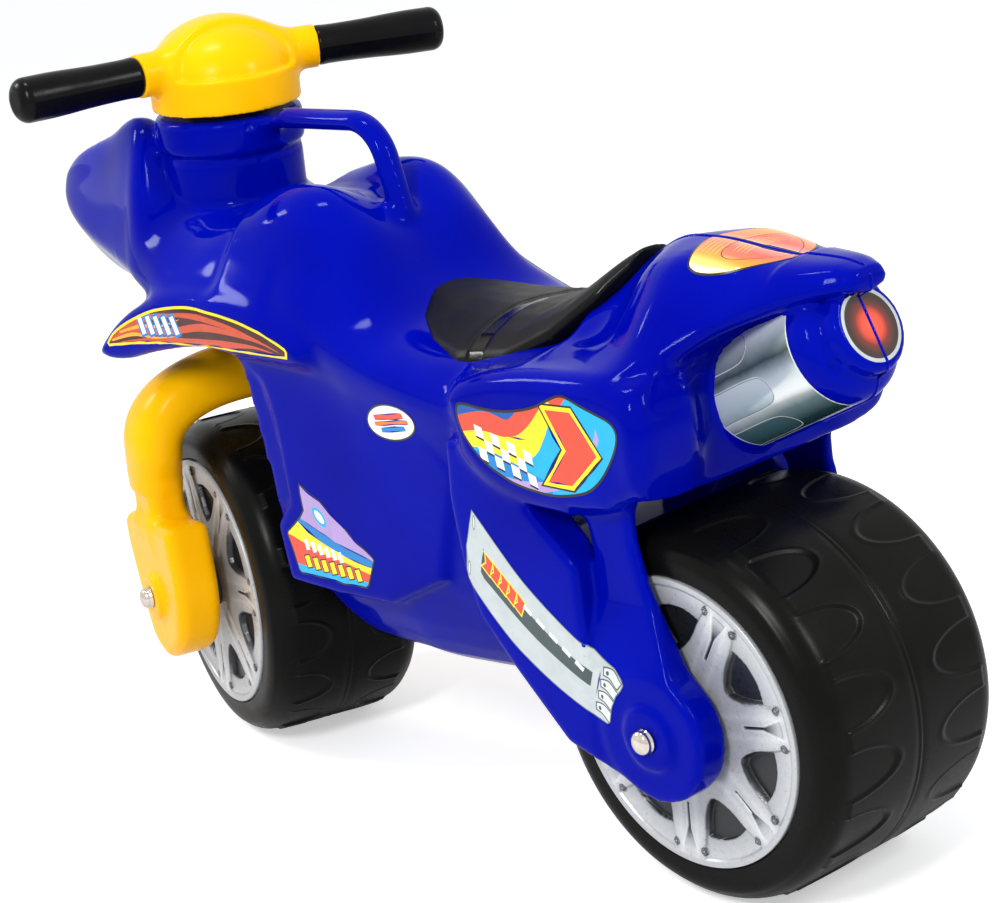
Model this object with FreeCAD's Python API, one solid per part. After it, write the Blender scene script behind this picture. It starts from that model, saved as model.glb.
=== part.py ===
import FreeCAD
import Part
import os
from math import asin, cos, pi, radians, sin, sqrt

Vector = FreeCAD.Vector
Placement = FreeCAD.Placement
Rotation = FreeCAD.Rotation

# Driving sizes of the whole bike, millimetres. X runs forward, Y to the rider's left, Z up.
wheelbase = 434.0
wheel_radius = 105.0
rear_tyre_half_width = 67.5
front_tyre_half_width = 51.0
frame_half_width = 92.0
tank_height = 376.0
axle_radius = 5.0
running_gap = 0.05
part_gap = 0.3
washer_gap = 0.5
cut_overrun = 2.0

# Steering: the axis leans back and crosses the front axle, and the bars rest turned as shown.
head_rake_deg = 3.6
rest_steer_deg = -15.7
bar_height = 440.0

# Rear swing arms
arm_inner_half_width = 72.0
arm_edge_depth = 6.0
arm_eye_radius = 36.0
arm_eye_start_deg = -62.0
arm_eye_stop_deg = -205.0
arm_eye_steps = 7
strut_outer_half_width = 80.0
arm_boss_radius = 17.5
arm_boss_height = 3.0
rear_arch_gap = 20.0

# Headstock
collar_radius = 46.0
collar_height = 21.0
collar_top = 409.0
collar_bevel = 2.0
neck_radius = 43.5
neck_groove = 2.5
neck_groove_height = 4.0
head_tube_bottom = 268.0
head_bush_radius = 22.0
head_bush_flange_radius = 26.0
head_bush_flange = 2.5
head_bush_length = 18.0
stem_radius = 16.0
stem_clearance = 4.0
stem_root = 4.0
steer_clear_radius = 118.0

# Exhaust barrel under the tail
barrel_tilt_deg = 24.0
barrel_radius = 33.0
barrel_length = 125.0
barrel_face_x = -99.0
barrel_face_z = 312.0
barrel_ring_radius = 24.0
barrel_face_radius = 22.0
barrel_cone_length = 12.0
barrel_ring_length = 10.0
barrel_bevel = 2.0

# Carry handle arch
handle_radius = 5.5
handle_height = 404.5
handle_bend_radius = 28.0
handle_bend_deg = 75.0
handle_bend_x = 291.0
handle_leg = 34.0

# Tyres and rims
tyre_shoulder = 16.0
tyre_round_steps = 2
rim_radius = 81.0
rim_seat_depth = 6.0
rim_thickness = 5.0
rim_proud = 1.3
rim_hub_radius = 22.0
bush_radius = 11.0
bush_flange_radius = 15.0
bush_length = 24.0
rim_window_count = 7

# Axle ends
cap_radius = 7.0
cap_height = 7.0
cap_skirt = 4.0
cap_dome_steps = 3

# Fork
fork_inner_half_width = 61.0
fork_outer_half_width = 91.0
fork_boss_radius = 15.0
fork_boss_height = 4.0

# Handlebar console and grips
bar_sweep_deg = 9.3
console_radius = 46.5
console_base_drop = 27.0
console_rise = 28.0
stub_radius = 13.0
stub_half_span = 60.0
spigot_radius = 9.5
grip_half_span = 142.0
grip_end_wall = 12.0
grip_radius = 12.6
grip_end_radius = 13.8
grip_end_round = 3.0
grip_flare = 30.0
bolt_radius = 4.0
bolt_head_radius = 7.0
bolt_head_height = 5.0
bolt_end_depth = 10.0

# Smooth sections are drawn in chords, this many from one given point to the next
chords_per_point = 2

os.makedirs("parts", exist_ok=True)
nodes = {}


def closed_curve(points):
    """One closed wire of short chords along the smooth curve through the points."""
    count = len(points)
    curve = Part.BSplineCurve()
    steps = [index / count for index in range(count + 1)]
    curve.interpolate(Points=points, PeriodicFlag=True, Parameters=steps)
    chords = count * chords_per_point
    corners = [curve.value(index / chords) for index in range(chords)]
    return Part.makePolygon(corners + [corners[0]])


def ring_of(x, half):
    """Smooth closed ring at one x from its left half, listed from top middle to bottom middle."""
    left = [Vector(x, y, z) for y, z in half]
    right = [Vector(x, -y, z) for y, z in reversed(half[1:-1])]
    return closed_curve(left + right)


def hull_loft(station_shares):
    """Solid through smooth sections whose places are shares of wheelbase, width and height."""
    rings = []
    for x_share, half_shares in station_shares:
        half = [(y * frame_half_width, z * tank_height) for y, z in half_shares]
        rings.append(ring_of(x_share * wheelbase, half))
    return Part.makeLoft(rings, True, True)


def side_outline(outline_shares):
    return [(x * wheelbase, z * tank_height) for x, z in outline_shares]


def side_plate(outline, y_inner, y_outer, edge, inner_edge, smooth):
    """Plate lying in the side view, its outline drawn in at the outer and at the inner face."""
    middle_x = sum(x for x, z in outline) / len(outline)
    middle_z = sum(z for x, z in outline) / len(outline)
    reach = max(sqrt((x - middle_x) ** 2 + (z - middle_z) ** 2) for x, z in outline)
    wires = []
    for y, inset in ((y_inner, inner_edge), (y_outer - edge, 0), (y_outer, edge)):
        scale = 1 - inset / reach
        ring = []
        for x, z in outline:
            ring.append(Vector(middle_x + (x - middle_x) * scale, y, middle_z + (z - middle_z) * scale))
        if smooth:
            wires.append(closed_curve(ring))
        else:
            wires.append(Part.makePolygon(ring + [ring[0]]))
    return Part.makeLoft(wires, True, True)


def mirrored(shape):
    return shape.mirror(Vector(0, 0, 0), Vector(0, 1, 0))


def cylinder_y(radius, y_start, y_end, x=0, z=0):
    return Part.makeCylinder(radius, y_end - y_start, Vector(x, y_start, z), Vector(0, 1, 0))


def cylinder_z(radius, z_start, z_end):
    return Part.makeCylinder(radius, z_end - z_start, Vector(0, 0, z_start), Vector(0, 0, 1))


def turned_about_y(profile):
    """Solid of revolution about the Y axis from (radius, y) points."""
    points = [Vector(radius, y, 0) for radius, y in profile]
    face = Part.Face(Part.makePolygon(points + [points[0]]))
    return face.revolve(Vector(0, 0, 0), Vector(0, 1, 0), 360)


def turned_about_z(profile):
    """Solid of revolution about the Z axis from (radius, z) points."""
    points = [Vector(radius, 0, z) for radius, z in profile]
    face = Part.Face(Part.makePolygon(points + [points[0]]))
    return face.revolve(Vector(0, 0, 0), Vector(0, 0, 1), 360)


def fused(first, *others):
    shape = first
    for other in others:
        shape = shape.fuse(other)
    return shape


# Places of the moving groups. The steered wheel stands on its tread's edge, a little higher.
axle_height = wheel_radius
rear_place = Placement(Vector(0, 0, axle_height), Rotation())
axle_lean = sin(radians(head_rake_deg)) * abs(sin(radians(rest_steer_deg)))
front_tread_half = front_tyre_half_width - tyre_shoulder
front_height = wheel_radius * sqrt(1 - axle_lean ** 2) + front_tread_half * axle_lean
front_middle = Vector(wheelbase, 0, front_height)
rake_turn = Rotation(Vector(0, 1, 0), -head_rake_deg)
head_place = Placement(front_middle, rake_turn)
steer_place = Placement(front_middle, rake_turn * Rotation(Vector(0, 0, 1), rest_steer_deg))


def along_axis(world_z):
    """Distance along the steering axis, from the front axle, of a height above the ground."""
    return (world_z - front_height) / cos(radians(head_rake_deg))


# Body: tail cowl, from the pointed tail to the seat
tail_shares = [
    (-0.233, [(0, 0.905), (0.05, 0.903), (0.1, 0.897), (0.12, 0.89), (0.1, 0.883), (0.05, 0.878), (0, 0.876)]),
    (-0.2, [(0, 0.913), (0.12, 0.91), (0.2, 0.898), (0.23, 0.885), (0.2, 0.872), (0.1, 0.865), (0, 0.862)]),
    (-0.13, [(0, 0.917), (0.2, 0.912), (0.33, 0.89), (0.39, 0.862), (0.34, 0.844), (0.2, 0.836), (0, 0.833)]),
    (-0.075, [(0, 0.923), (0.27, 0.917), (0.44, 0.888), (0.52, 0.838), (0.46, 0.813), (0.27, 0.8), (0, 0.795)]),
    (-0.035, [(0, 0.93), (0.34, 0.922), (0.58, 0.882), (0.72, 0.803), (0.66, 0.77), (0.4, 0.74), (0, 0.735)]),
    (0.0, [(0, 0.934), (0.42, 0.924), (0.68, 0.882), (0.87, 0.77), (0.83, 0.71), (0.6, 0.66), (0, 0.64)]),
    (0.05, [(0, 0.93), (0.45, 0.92), (0.7, 0.882), (0.91, 0.76), (0.89, 0.69), (0.6, 0.64), (0, 0.62)]),
    (0.1, [(0, 0.908), (0.42, 0.9), (0.68, 0.868), (0.9, 0.755), (0.88, 0.68), (0.6, 0.63), (0, 0.61)]),
    (0.16, [(0, 0.86), (0.38, 0.855), (0.64, 0.83), (0.86, 0.75), (0.84, 0.68), (0.6, 0.62), (0, 0.6)]),
]
tail_cowl = hull_loft(tail_shares)

# Body: main hull with seat saddle, tank, side panels and belly
hull_shares = [
    (0.01, [(0, 0.93), (0.35, 0.92), (0.6, 0.89), (0.78, 0.82), (0.88, 0.75), (0.86, 0.7),
            (0.82, 0.66), (0.75, 0.63), (0.5, 0.612), (0, 0.605)]),
    (0.13, [(0, 0.87), (0.34, 0.862), (0.58, 0.84), (0.74, 0.79), (0.88, 0.74), (0.85, 0.67),
            (0.8, 0.6), (0.75, 0.5), (0.5, 0.42), (0, 0.4)]),
    (0.24, [(0, 0.8), (0.34, 0.792), (0.56, 0.775), (0.72, 0.755), (0.88, 0.72), (0.83, 0.63),
            (0.79, 0.52), (0.74, 0.4), (0.54, 0.31), (0, 0.285)]),
    (0.35, [(0, 0.79), (0.34, 0.784), (0.58, 0.77), (0.75, 0.752), (0.89, 0.72), (0.83, 0.63),
            (0.79, 0.52), (0.74, 0.4), (0.5, 0.275), (0, 0.24)]),
    (0.46, [(0, 0.8), (0.34, 0.796), (0.58, 0.786), (0.75, 0.775), (0.89, 0.755), (0.83, 0.66),
            (0.78, 0.54), (0.73, 0.4), (0.5, 0.262), (0, 0.228)]),
    (0.52, [(0, 0.84), (0.35, 0.842), (0.56, 0.828), (0.73, 0.8), (0.89, 0.782), (0.83, 0.67),
            (0.78, 0.545), (0.73, 0.4), (0.5, 0.26), (0, 0.228)]),
    (0.57, [(0, 0.92), (0.37, 0.945), (0.58, 0.908), (0.71, 0.835), (0.89, 0.808), (0.82, 0.68),
            (0.775, 0.545), (0.73, 0.4), (0.48, 0.26), (0, 0.228)]),
    (0.63, [(0, 0.957), (0.4, 0.998), (0.62, 0.954), (0.73, 0.87), (0.89, 0.828), (0.82, 0.69),
            (0.775, 0.545), (0.73, 0.4), (0.46, 0.258), (0, 0.228)]),
    (0.7, [(0, 0.962), (0.4, 0.999), (0.65, 0.957), (0.76, 0.88), (0.89, 0.828), (0.81, 0.7),
           (0.765, 0.545), (0.72, 0.4), (0.44, 0.265), (0, 0.235)]),
    (0.77, [(0, 0.955), (0.37, 0.972), (0.65, 0.935), (0.78, 0.88), (0.89, 0.825), (0.81, 0.7),
            (0.75, 0.545), (0.68, 0.42), (0.4, 0.31), (0, 0.285)]),
]
main_hull = hull_loft(hull_shares)

# Body: front fairing, from the tank to the nose
fairing_shares = [
    (0.66, [(0, 0.93), (0.3, 0.94), (0.62, 0.9), (0.86, 0.82), (0.87, 0.77), (0.6, 0.73), (0, 0.715)]),
    (0.8, [(0, 0.95), (0.35, 0.958), (0.7, 0.92), (0.91, 0.83), (0.92, 0.78), (0.62, 0.73), (0, 0.712)]),
    (0.9, [(0, 0.95), (0.36, 0.955), (0.7, 0.92), (0.9, 0.832), (0.91, 0.785), (0.62, 0.735), (0, 0.715)]),
    (0.98, [(0, 0.96), (0.42, 0.975), (0.68, 0.93), (0.82, 0.85), (0.8, 0.8), (0.54, 0.745), (0, 0.722)]),
    (1.025, [(0, 1.02), (0.43, 1.07), (0.64, 0.97), (0.76, 0.855), (0.72, 0.8), (0.46, 0.753), (0, 0.733)]),
    (1.065, [(0, 1.055), (0.41, 1.092), (0.6, 0.985), (0.69, 0.858), (0.63, 0.8), (0.38, 0.762), (0, 0.745)]),
    (1.157, [(0, 1.035), (0.35, 1.056), (0.48, 0.97), (0.54, 0.868), (0.46, 0.808), (0.24, 0.775), (0, 0.765)]),
    (1.28, [(0, 0.998), (0.25, 1.013), (0.32, 0.958), (0.36, 0.892), (0.28, 0.832), (0.13, 0.795), (0, 0.785)]),
    (1.362, [(0, 0.965), (0.14, 0.974), (0.19, 0.942), (0.21, 0.915), (0.16, 0.87), (0.07, 0.838), (0, 0.828)]),
    (1.408, [(0, 0.942), (0.05, 0.943), (0.08, 0.932), (0.08, 0.92), (0.06, 0.908), (0.03, 0.9), (0, 0.897)]),
]
fairing = hull_loft(fairing_shares)

# Body: pointed side wings over the fork
wing_shares = [(1.085, 0.72), (1.055, 0.752), (0.985, 0.8), (0.9, 0.83), (0.8, 0.838), (0.7, 0.815),
               (0.63, 0.785), (0.61, 0.757), (0.7, 0.748), (0.82, 0.752), (0.94, 0.73), (1.025, 0.708)]
wing_inner_half_width = 50.0
wing_outer_half_width = 91.0
wing_edge = 5.0
wing = side_plate(side_outline(wing_shares), wing_inner_half_width, wing_outer_half_width, wing_edge, 0, True)

# Body: side panels beside the front wheel
panel_shares = [(0.78, 0.72), (0.735, 0.7), (0.724, 0.63), (0.72, 0.5), (0.755, 0.455), (0.745, 0.36),
                (0.64, 0.355), (0.52, 0.36), (0.4, 0.42), (0.36, 0.6), (0.5, 0.74), (0.65, 0.77)]
panel_inner_half_width = 40.0
panel_outer_half_width = 76.0
panel_edge = 5.0
side_panel = side_plate(side_outline(panel_shares), panel_inner_half_width, panel_outer_half_width,
                        panel_edge, 0, False)

# Body: bulging side covers above the arms
cover_shares = [(0.29, 0.765), (0.2, 0.79), (0.08, 0.8), (-0.02, 0.78), (-0.06, 0.735), (-0.06, 0.69),
                (-0.035, 0.645), (0.015, 0.61), (0.1, 0.596), (0.2, 0.606), (0.275, 0.655), (0.3, 0.72)]
cover_inner_half_width = 60.0
cover_outer_half_width = 96.0
cover_edge = 8.0
cover_inner_edge = 16.0
side_cover = side_plate(side_outline(cover_shares), cover_inner_half_width, cover_outer_half_width,
                        cover_edge, cover_inner_edge, True)

# Body: swing arms, each with a triangular window between arm and strut
arm_lower_shares = [(0.31, 0.66), (0.318, 0.58), (0.31, 0.48), (0.292, 0.402), (0.23, 0.325), (0.152, 0.236)]
arm_upper_shares = [(-0.038, 0.372), (0.008, 0.487), (0.02, 0.55), (0.018, 0.612), (0.02, 0.66)]


def arm_outline():
    points = side_outline(arm_lower_shares)
    turn = arm_eye_stop_deg - arm_eye_start_deg
    for index in range(arm_eye_steps + 1):
        angle = radians(arm_eye_start_deg + turn * index / arm_eye_steps)
        points.append((arm_eye_radius * cos(angle), axle_height + arm_eye_radius * sin(angle)))
    return points + side_outline(arm_upper_shares)


swing_arm = side_plate(arm_outline(), arm_inner_half_width, frame_half_width, arm_edge_depth, 0, False)
arm_boss = cylinder_y(arm_boss_radius, frame_half_width - cut_overrun, frame_half_width + arm_boss_height,
                      0, axle_height)
window_shares = [(0.095, 0.595), (0.178, 0.595), (0.09, 0.51)]
window_points = [Vector(x, arm_inner_half_width - cut_overrun, z) for x, z in side_outline(window_shares)]
window_face = Part.Face(Part.makePolygon(window_points + [window_points[0]]))
arm_window = window_face.extrude(Vector(0, frame_half_width - arm_inner_half_width + 2 * cut_overrun, 0))
strut_shares = [(1.0, 0.36), (0.0, 0.46), (0.0, 0.61), (1.0, 0.61)]
strut_relief = frame_half_width + cut_overrun - strut_outer_half_width
strut_points = [Vector(-arm_eye_radius, strut_outer_half_width + y * strut_relief, z * tank_height)
                for y, z in strut_shares]
strut_face = Part.Face(Part.makePolygon(strut_points + [strut_points[0]]))
strut_cut = strut_face.extrude(Vector(arm_eye_radius + window_shares[0][0] * wheelbase, 0, 0))
swing_arm = swing_arm.cut(arm_window).cut(strut_cut).fuse(arm_boss).Solids[0]

# Body: exhaust barrel
barrel_profile = [
    (0, 0), (barrel_face_radius, 0), (barrel_ring_radius, -barrel_bevel),
    (barrel_ring_radius, -barrel_ring_length), (barrel_radius, -barrel_ring_length - barrel_cone_length),
    (barrel_radius, -barrel_length), (0, -barrel_length),
]
barrel_place = Placement(Vector(barrel_face_x, 0, barrel_face_z),
                         Rotation(Vector(0, 1, 0), -(90 - barrel_tilt_deg)))
barrel = turned_about_z(barrel_profile)
barrel.Placement = barrel_place

# Body: headstock neck and collar
neck_top = along_axis(collar_top)
neck_bottom = along_axis(head_tube_bottom)
collar_bottom = neck_top - collar_height
neck_profile = [
    (0, neck_bottom), (neck_radius, neck_bottom), (neck_radius, collar_bottom - neck_groove_height),
    (neck_radius - neck_groove, collar_bottom - neck_groove_height / 2), (collar_radius, collar_bottom),
    (collar_radius, neck_top - collar_bevel), (collar_radius - collar_bevel, neck_top), (0, neck_top),
]
neck = turned_about_z(neck_profile)
neck.Placement = head_place

# Body: carry handle arch behind the headstock
handle_section = Part.Circle(Vector(handle_bend_x, 0, handle_height), Vector(1, 0, 0), handle_radius)
handle_face = Part.Face(Part.Wire([handle_section.toShape()]))
bend_centre = Vector(handle_bend_x, 0, handle_height - handle_bend_radius)
handle_bar = handle_face.extrude(Vector(wheelbase - stem_radius - handle_bend_x, 0, 0))
handle_bend = handle_face.revolve(bend_centre, Vector(0, -1, 0), handle_bend_deg)
leg_face = handle_face.copy()
leg_face.rotate(bend_centre, Vector(0, -1, 0), handle_bend_deg)
leg_turn = radians(handle_bend_deg)
handle_foot = leg_face.extrude(Vector(-handle_leg * cos(leg_turn), 0, -handle_leg * sin(leg_turn)))
handle_arch = fused(handle_bar, handle_bend, handle_foot)

# Seat pad: laid in the saddle and up the front of the tail
seat_shares = [
    (0.115, [(0, 0.915), (0.1, 0.912), (0.16, 0.9), (0.14, 0.885), (0.06, 0.875), (0, 0.872)]),
    (0.14, [(0, 0.898), (0.2, 0.892), (0.34, 0.868), (0.32, 0.845), (0.15, 0.835), (0, 0.832)]),
    (0.19, [(0, 0.86), (0.3, 0.852), (0.54, 0.82), (0.53, 0.79), (0.3, 0.785), (0, 0.785)]),
    (0.25, [(0, 0.83), (0.36, 0.822), (0.65, 0.79), (0.64, 0.762), (0.36, 0.76), (0, 0.76)]),
    (0.34, [(0, 0.818), (0.36, 0.81), (0.67, 0.78), (0.66, 0.753), (0.36, 0.75), (0, 0.75)]),
    (0.42, [(0, 0.82), (0.3, 0.812), (0.54, 0.787), (0.53, 0.762), (0.3, 0.757), (0, 0.757)]),
    (0.475, [(0, 0.826), (0.22, 0.821), (0.38, 0.802), (0.37, 0.777), (0.22, 0.77), (0, 0.77)]),
    (0.51, [(0, 0.832), (0.1, 0.83), (0.18, 0.82), (0.17, 0.805), (0.09, 0.8), (0, 0.798)]),
]
seat_pad = hull_loft(seat_shares)
nodes["seat_pad"] = seat_pad

# Seat pocket: a hair larger than the pad all round, and open above it
seat_clear_share = 0.12
pocket_gap = 0.2


def pocket_loft(lift_share):
    """The pad's form grown by the pocket gap, its upper half raised by a share of the height."""
    side = pocket_gap / frame_half_width
    down = pocket_gap / tank_height
    stations = []
    for x_share, half_shares in seat_shares:
        upper = [(y + side if y else 0, z + down + lift_share) for y, z in half_shares[:3]]
        lower = [(y + side if y else 0, z - down) for y, z in half_shares[3:]]
        stations.append([x_share, upper + lower])
    stations[0][0] -= pocket_gap / wheelbase
    stations[-1][0] += pocket_gap / wheelbase
    return hull_loft(stations)


seat_pocket = pocket_loft(0)
seat_clear = pocket_loft(seat_clear_share)

# Body shell: everything moulded in one, with the wells, bores and seat pocket cut out
body = fused(main_hull, tail_cowl, fairing, wing, mirrored(wing), side_panel, mirrored(side_panel),
             side_cover, mirrored(side_cover), barrel, neck)
wheel_well = cylinder_y(wheel_radius + rear_arch_gap, -arm_inner_half_width, arm_inner_half_width,
                        0, axle_height)
front_well = Part.makeCylinder(steer_clear_radius, head_tube_bottom - cut_overrun, Vector(wheelbase, 0, 0))
body = body.cut(wheel_well).cut(front_well)
body = fused(body, swing_arm, mirrored(swing_arm), handle_arch)
head_bore = cylinder_z(stem_radius + stem_clearance, neck_bottom - cut_overrun, neck_top + cut_overrun)
lower_seat = cylinder_z(head_bush_radius, neck_bottom - cut_overrun, neck_bottom + head_bush_length)
upper_seat = cylinder_z(head_bush_radius, neck_top - head_bush_length, neck_top + cut_overrun)
flange_room = head_bush_flange_radius + washer_gap
lower_room = cylinder_z(flange_room, neck_bottom - collar_height, neck_bottom)
upper_room = cylinder_z(collar_radius, neck_top, neck_top + collar_height)
for cutter in (head_bore, lower_seat, upper_seat, lower_room, upper_room):
    cutter.Placement = head_place
    body = body.cut(cutter)
arm_bore_end = frame_half_width + arm_boss_height + cut_overrun
axle_bore = cylinder_y(axle_radius + running_gap, -arm_bore_end, arm_bore_end, 0, axle_height)
body = body.cut(axle_bore).cut(seat_clear).cut(seat_pocket)
body = max(body.Solids, key=lambda solid: solid.Volume)
nodes["body_shell"] = body

# Headstock bushes: flanged rings between the neck and the fork stem
head_bush_profile = [
    (stem_radius + running_gap, 0), (head_bush_radius, 0), (head_bush_radius, head_bush_length),
    (head_bush_flange_radius, head_bush_length), (head_bush_flange_radius, head_bush_length + head_bush_flange),
    (stem_radius + running_gap, head_bush_length + head_bush_flange),
]
upper_bush = turned_about_z(head_bush_profile)
upper_bush.Placement = head_place * Placement(Vector(0, 0, neck_top - head_bush_length), Rotation())
lower_bush = turned_about_z(head_bush_profile)
lower_bush.Placement = head_place * Placement(Vector(0, 0, neck_bottom + head_bush_length),
                                              Rotation(Vector(1, 0, 0), 180))
nodes["headstock_bushes"] = Part.makeCompound([upper_bush, lower_bush])


def tyre(half_width):
    """Blow-moulded wheel body with a rim seat on each side, a rounded shoulder and a slight crown."""
    edge = wheel_radius
    seat = half_width - rim_seat_depth
    bend = tyre_shoulder
    half = [(bush_radius, -seat), (rim_radius + part_gap, -seat), (rim_radius + part_gap, -half_width)]
    half.append((edge - bend, -half_width))
    for index in range(1, tyre_round_steps):
        angle = pi / 2 * index / tyre_round_steps
        half.append((edge - bend + bend * sin(angle), -half_width + bend - bend * cos(angle)))
    half.append((edge, -half_width + bend))
    return turned_about_y(half + [(radius, -y) for radius, y in reversed(half)])


def wheel_bushes(half_width, carrier_inner):
    """Pair of bushes pressed into the hub, each with a nose that keeps the wheel off its carrier."""
    face = half_width - rim_seat_depth
    nose = carrier_inner - washer_gap
    bore = axle_radius + running_gap
    profile = [(bore, face - bush_length), (bush_radius, face - bush_length), (bush_radius, face),
               (bush_flange_radius, face), (bush_flange_radius, nose), (bore, nose)]
    bush = turned_about_y(profile)
    return Part.makeCompound([bush, mirrored(bush)])


rim_ring_width = 9.0
rim_relief = 2.0
window_inner_x = 48.0
window_inner_radius = 5.0
window_outer_x = 55.0
window_outer_radius = 11.5
window_steps = 4
split_half_width = 1.4
rim_turn_share = 0.16
split_inner_radius = 44.0
split_outer_radius = 68.0


def teardrop(inner_x, inner_radius, outer_x, outer_radius, y):
    """Face of two unlike circles and their shared tangents, in straight steps, in the side view."""
    lean = asin((outer_radius - inner_radius) / (outer_x - inner_x))
    points = []
    for middle, radius, start, stop in (
        (outer_x, outer_radius, -pi / 2 - lean, pi / 2 + lean),
        (inner_x, inner_radius, pi / 2 + lean, 3 * pi / 2 - lean),
    ):
        for index in range(window_steps + 1):
            angle = start + (stop - start) * index / window_steps
            points.append(Vector(middle + radius * cos(angle), y, radius * sin(angle)))
    return Part.Face(Part.makePolygon(points + [points[0]]))


def rim(half_width):
    """Rim disc with a raised ring and hub, teardrop windows and split spokes."""
    back = half_width - rim_seat_depth
    face = back + rim_thickness
    top = half_width + rim_proud
    bore = bush_flange_radius + part_gap
    profile = [
        (bore, back), (rim_radius, back), (rim_radius, top),
        (rim_radius - rim_ring_width, top), (rim_radius - rim_ring_width - rim_relief, face),
        (rim_hub_radius + rim_relief, face), (rim_hub_radius, top), (bore, top),
    ]
    disc = turned_about_y(profile)
    for index in range(rim_window_count):
        turn = 360 / rim_window_count * (index + rim_turn_share)
        hole = teardrop(window_inner_x, window_inner_radius, window_outer_x, window_outer_radius,
                        back - cut_overrun)
        window = hole.extrude(Vector(0, rim_thickness + 2 * cut_overrun, 0))
        window.rotate(Vector(0, 0, 0), Vector(0, 1, 0), turn)
        disc = disc.cut(window)
        split = Part.makeBox(split_outer_radius - split_inner_radius, rim_thickness, 2 * split_half_width,
                             Vector(split_inner_radius, face - rim_relief, -split_half_width))
        split.rotate(Vector(0, 0, 0), Vector(0, 1, 0), turn + 180 / rim_window_count)
        disc = disc.cut(split)
    return disc


def axle_rod(half_span):
    return cylinder_y(axle_radius, -half_span, half_span)


def axle_caps(seat, half_span):
    """Pair of domed push-on caps over the rod's ends, with their mouths at seat."""
    dome = []
    for index in range(cap_dome_steps):
        angle = pi / 2 * index / cap_dome_steps
        dome.append((cap_radius * cos(angle), seat + cap_skirt + (cap_height - cap_skirt) * sin(angle)))
    profile = [(axle_radius + running_gap, seat), (cap_radius, seat)] + dome
    profile = profile + [(0, seat + cap_height), (0, half_span + running_gap),
                         (axle_radius + running_gap, half_span + running_gap)]
    cap = turned_about_y(profile)
    return Part.makeCompound([cap, mirrored(cap)])


def add_wheel(prefix, half_width, carrier_inner, carrier_outer, place):
    rod_end = carrier_outer + cap_skirt
    pieces = {
        prefix + "_tyre": tyre(half_width),
        prefix + "_rim_left": rim(half_width),
        prefix + "_rim_right": mirrored(rim(half_width)),
        prefix + "_wheel_bushes": wheel_bushes(half_width, carrier_inner),
        prefix + "_axle": axle_rod(rod_end),
        prefix + "_axle_caps": axle_caps(carrier_outer, rod_end),
    }
    for name, shape in pieces.items():
        shape.Placement = place * shape.Placement
        nodes[name] = shape


add_wheel("rear", rear_tyre_half_width, arm_inner_half_width, frame_half_width + arm_boss_height, rear_place)
add_wheel("front", front_tyre_half_width, fork_inner_half_width, fork_outer_half_width + fork_boss_height,
          steer_place)

# Fork: the arch seen from the front, crossed with the leg outline seen from the side
fork_reach = 155.0
fork_web_share = 0.755
fork_front_shares = [(1.0, -0.3), (1.0, 0.62), (0.975, 0.73), (0.91, 0.83), (0.78, 0.905), (0.58, 0.955),
                     (0.34, 0.985), (0, 1.0)]
fork_inner_shares = [(0, fork_web_share), (0.22, 0.75), (0.42, 0.725), (0.56, 0.67), (0.66, 0.57), (0.67, 0.45),
                     (0.67, -0.3)]
fork_side_shares = [
    (0.0, -0.277), (0.13, -0.23), (0.2, -0.115), (0.25, 0.0), (0.32, 0.18), (0.315, 0.27), (0.195, 0.32),
    (0.195, 0.4), (0.23, 0.48), (0.23, 0.6), (0.2, 0.74), (0.15, 0.88), (0.12, 1.01), (-0.09, 1.01),
    (-0.1, 0.78), (-0.095, 0.6), (-0.035, 0.49), (-0.05, 0.37), (-0.23, 0.35), (-0.26, 0.26),
    (-0.285, 0.13), (-0.28, 0.0), (-0.245, -0.11), (-0.18, -0.19), (-0.09, -0.25),
]
half_arch = [(y * fork_outer_half_width, z * fork_reach) for y, z in fork_front_shares]
half_inner = [(y * fork_outer_half_width, z * fork_reach) for y, z in fork_inner_shares]
arch_ring = half_arch + [(-y, z) for y, z in reversed(half_arch[:-1])]
arch_ring = arch_ring + [(-y, z) for y, z in reversed(half_inner[1:])] + half_inner
fork_depth = 2 * fork_reach
arch_points = [Vector(-fork_reach, y, z) for y, z in arch_ring]
arch_block = Part.Face(Part.makePolygon(arch_points + [arch_points[0]])).extrude(Vector(fork_depth, 0, 0))
leg_points = [Vector(x * fork_reach, -fork_outer_half_width - cut_overrun, z * fork_reach)
              for x, z in fork_side_shares]
leg_block = Part.Face(Part.makePolygon(leg_points + [leg_points[0]])).extrude(
    Vector(0, 2 * fork_outer_half_width + 2 * cut_overrun, 0))
fork = arch_block.common(leg_block)
stem_top = along_axis(collar_top) + head_bush_flange + washer_gap + console_base_drop
stem = cylinder_z(stem_radius, fork_reach - stem_root, stem_top)
fork_shoulder = cylinder_z(stem_radius + stem_clearance, fork_reach - stem_root,
                           neck_bottom - head_bush_flange - washer_gap)
left_boss = cylinder_y(fork_boss_radius, fork_outer_half_width - cut_overrun,
                       fork_outer_half_width + fork_boss_height)
fork = fused(fork, stem, fork_shoulder, left_boss, mirrored(left_boss))
fork_bore_end = fork_outer_half_width + fork_boss_height + cut_overrun
fork = fork.cut(cylinder_y(axle_radius + running_gap, -fork_bore_end, fork_bore_end))
bolt_seat = fork_web_share * fork_reach + bolt_head_height
fork = fork.cut(cylinder_z(bolt_head_radius + part_gap, -fork_reach, bolt_seat))
fork = fork.cut(cylinder_z(bolt_radius + running_gap, -fork_reach, stem_top + cut_overrun))

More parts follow.
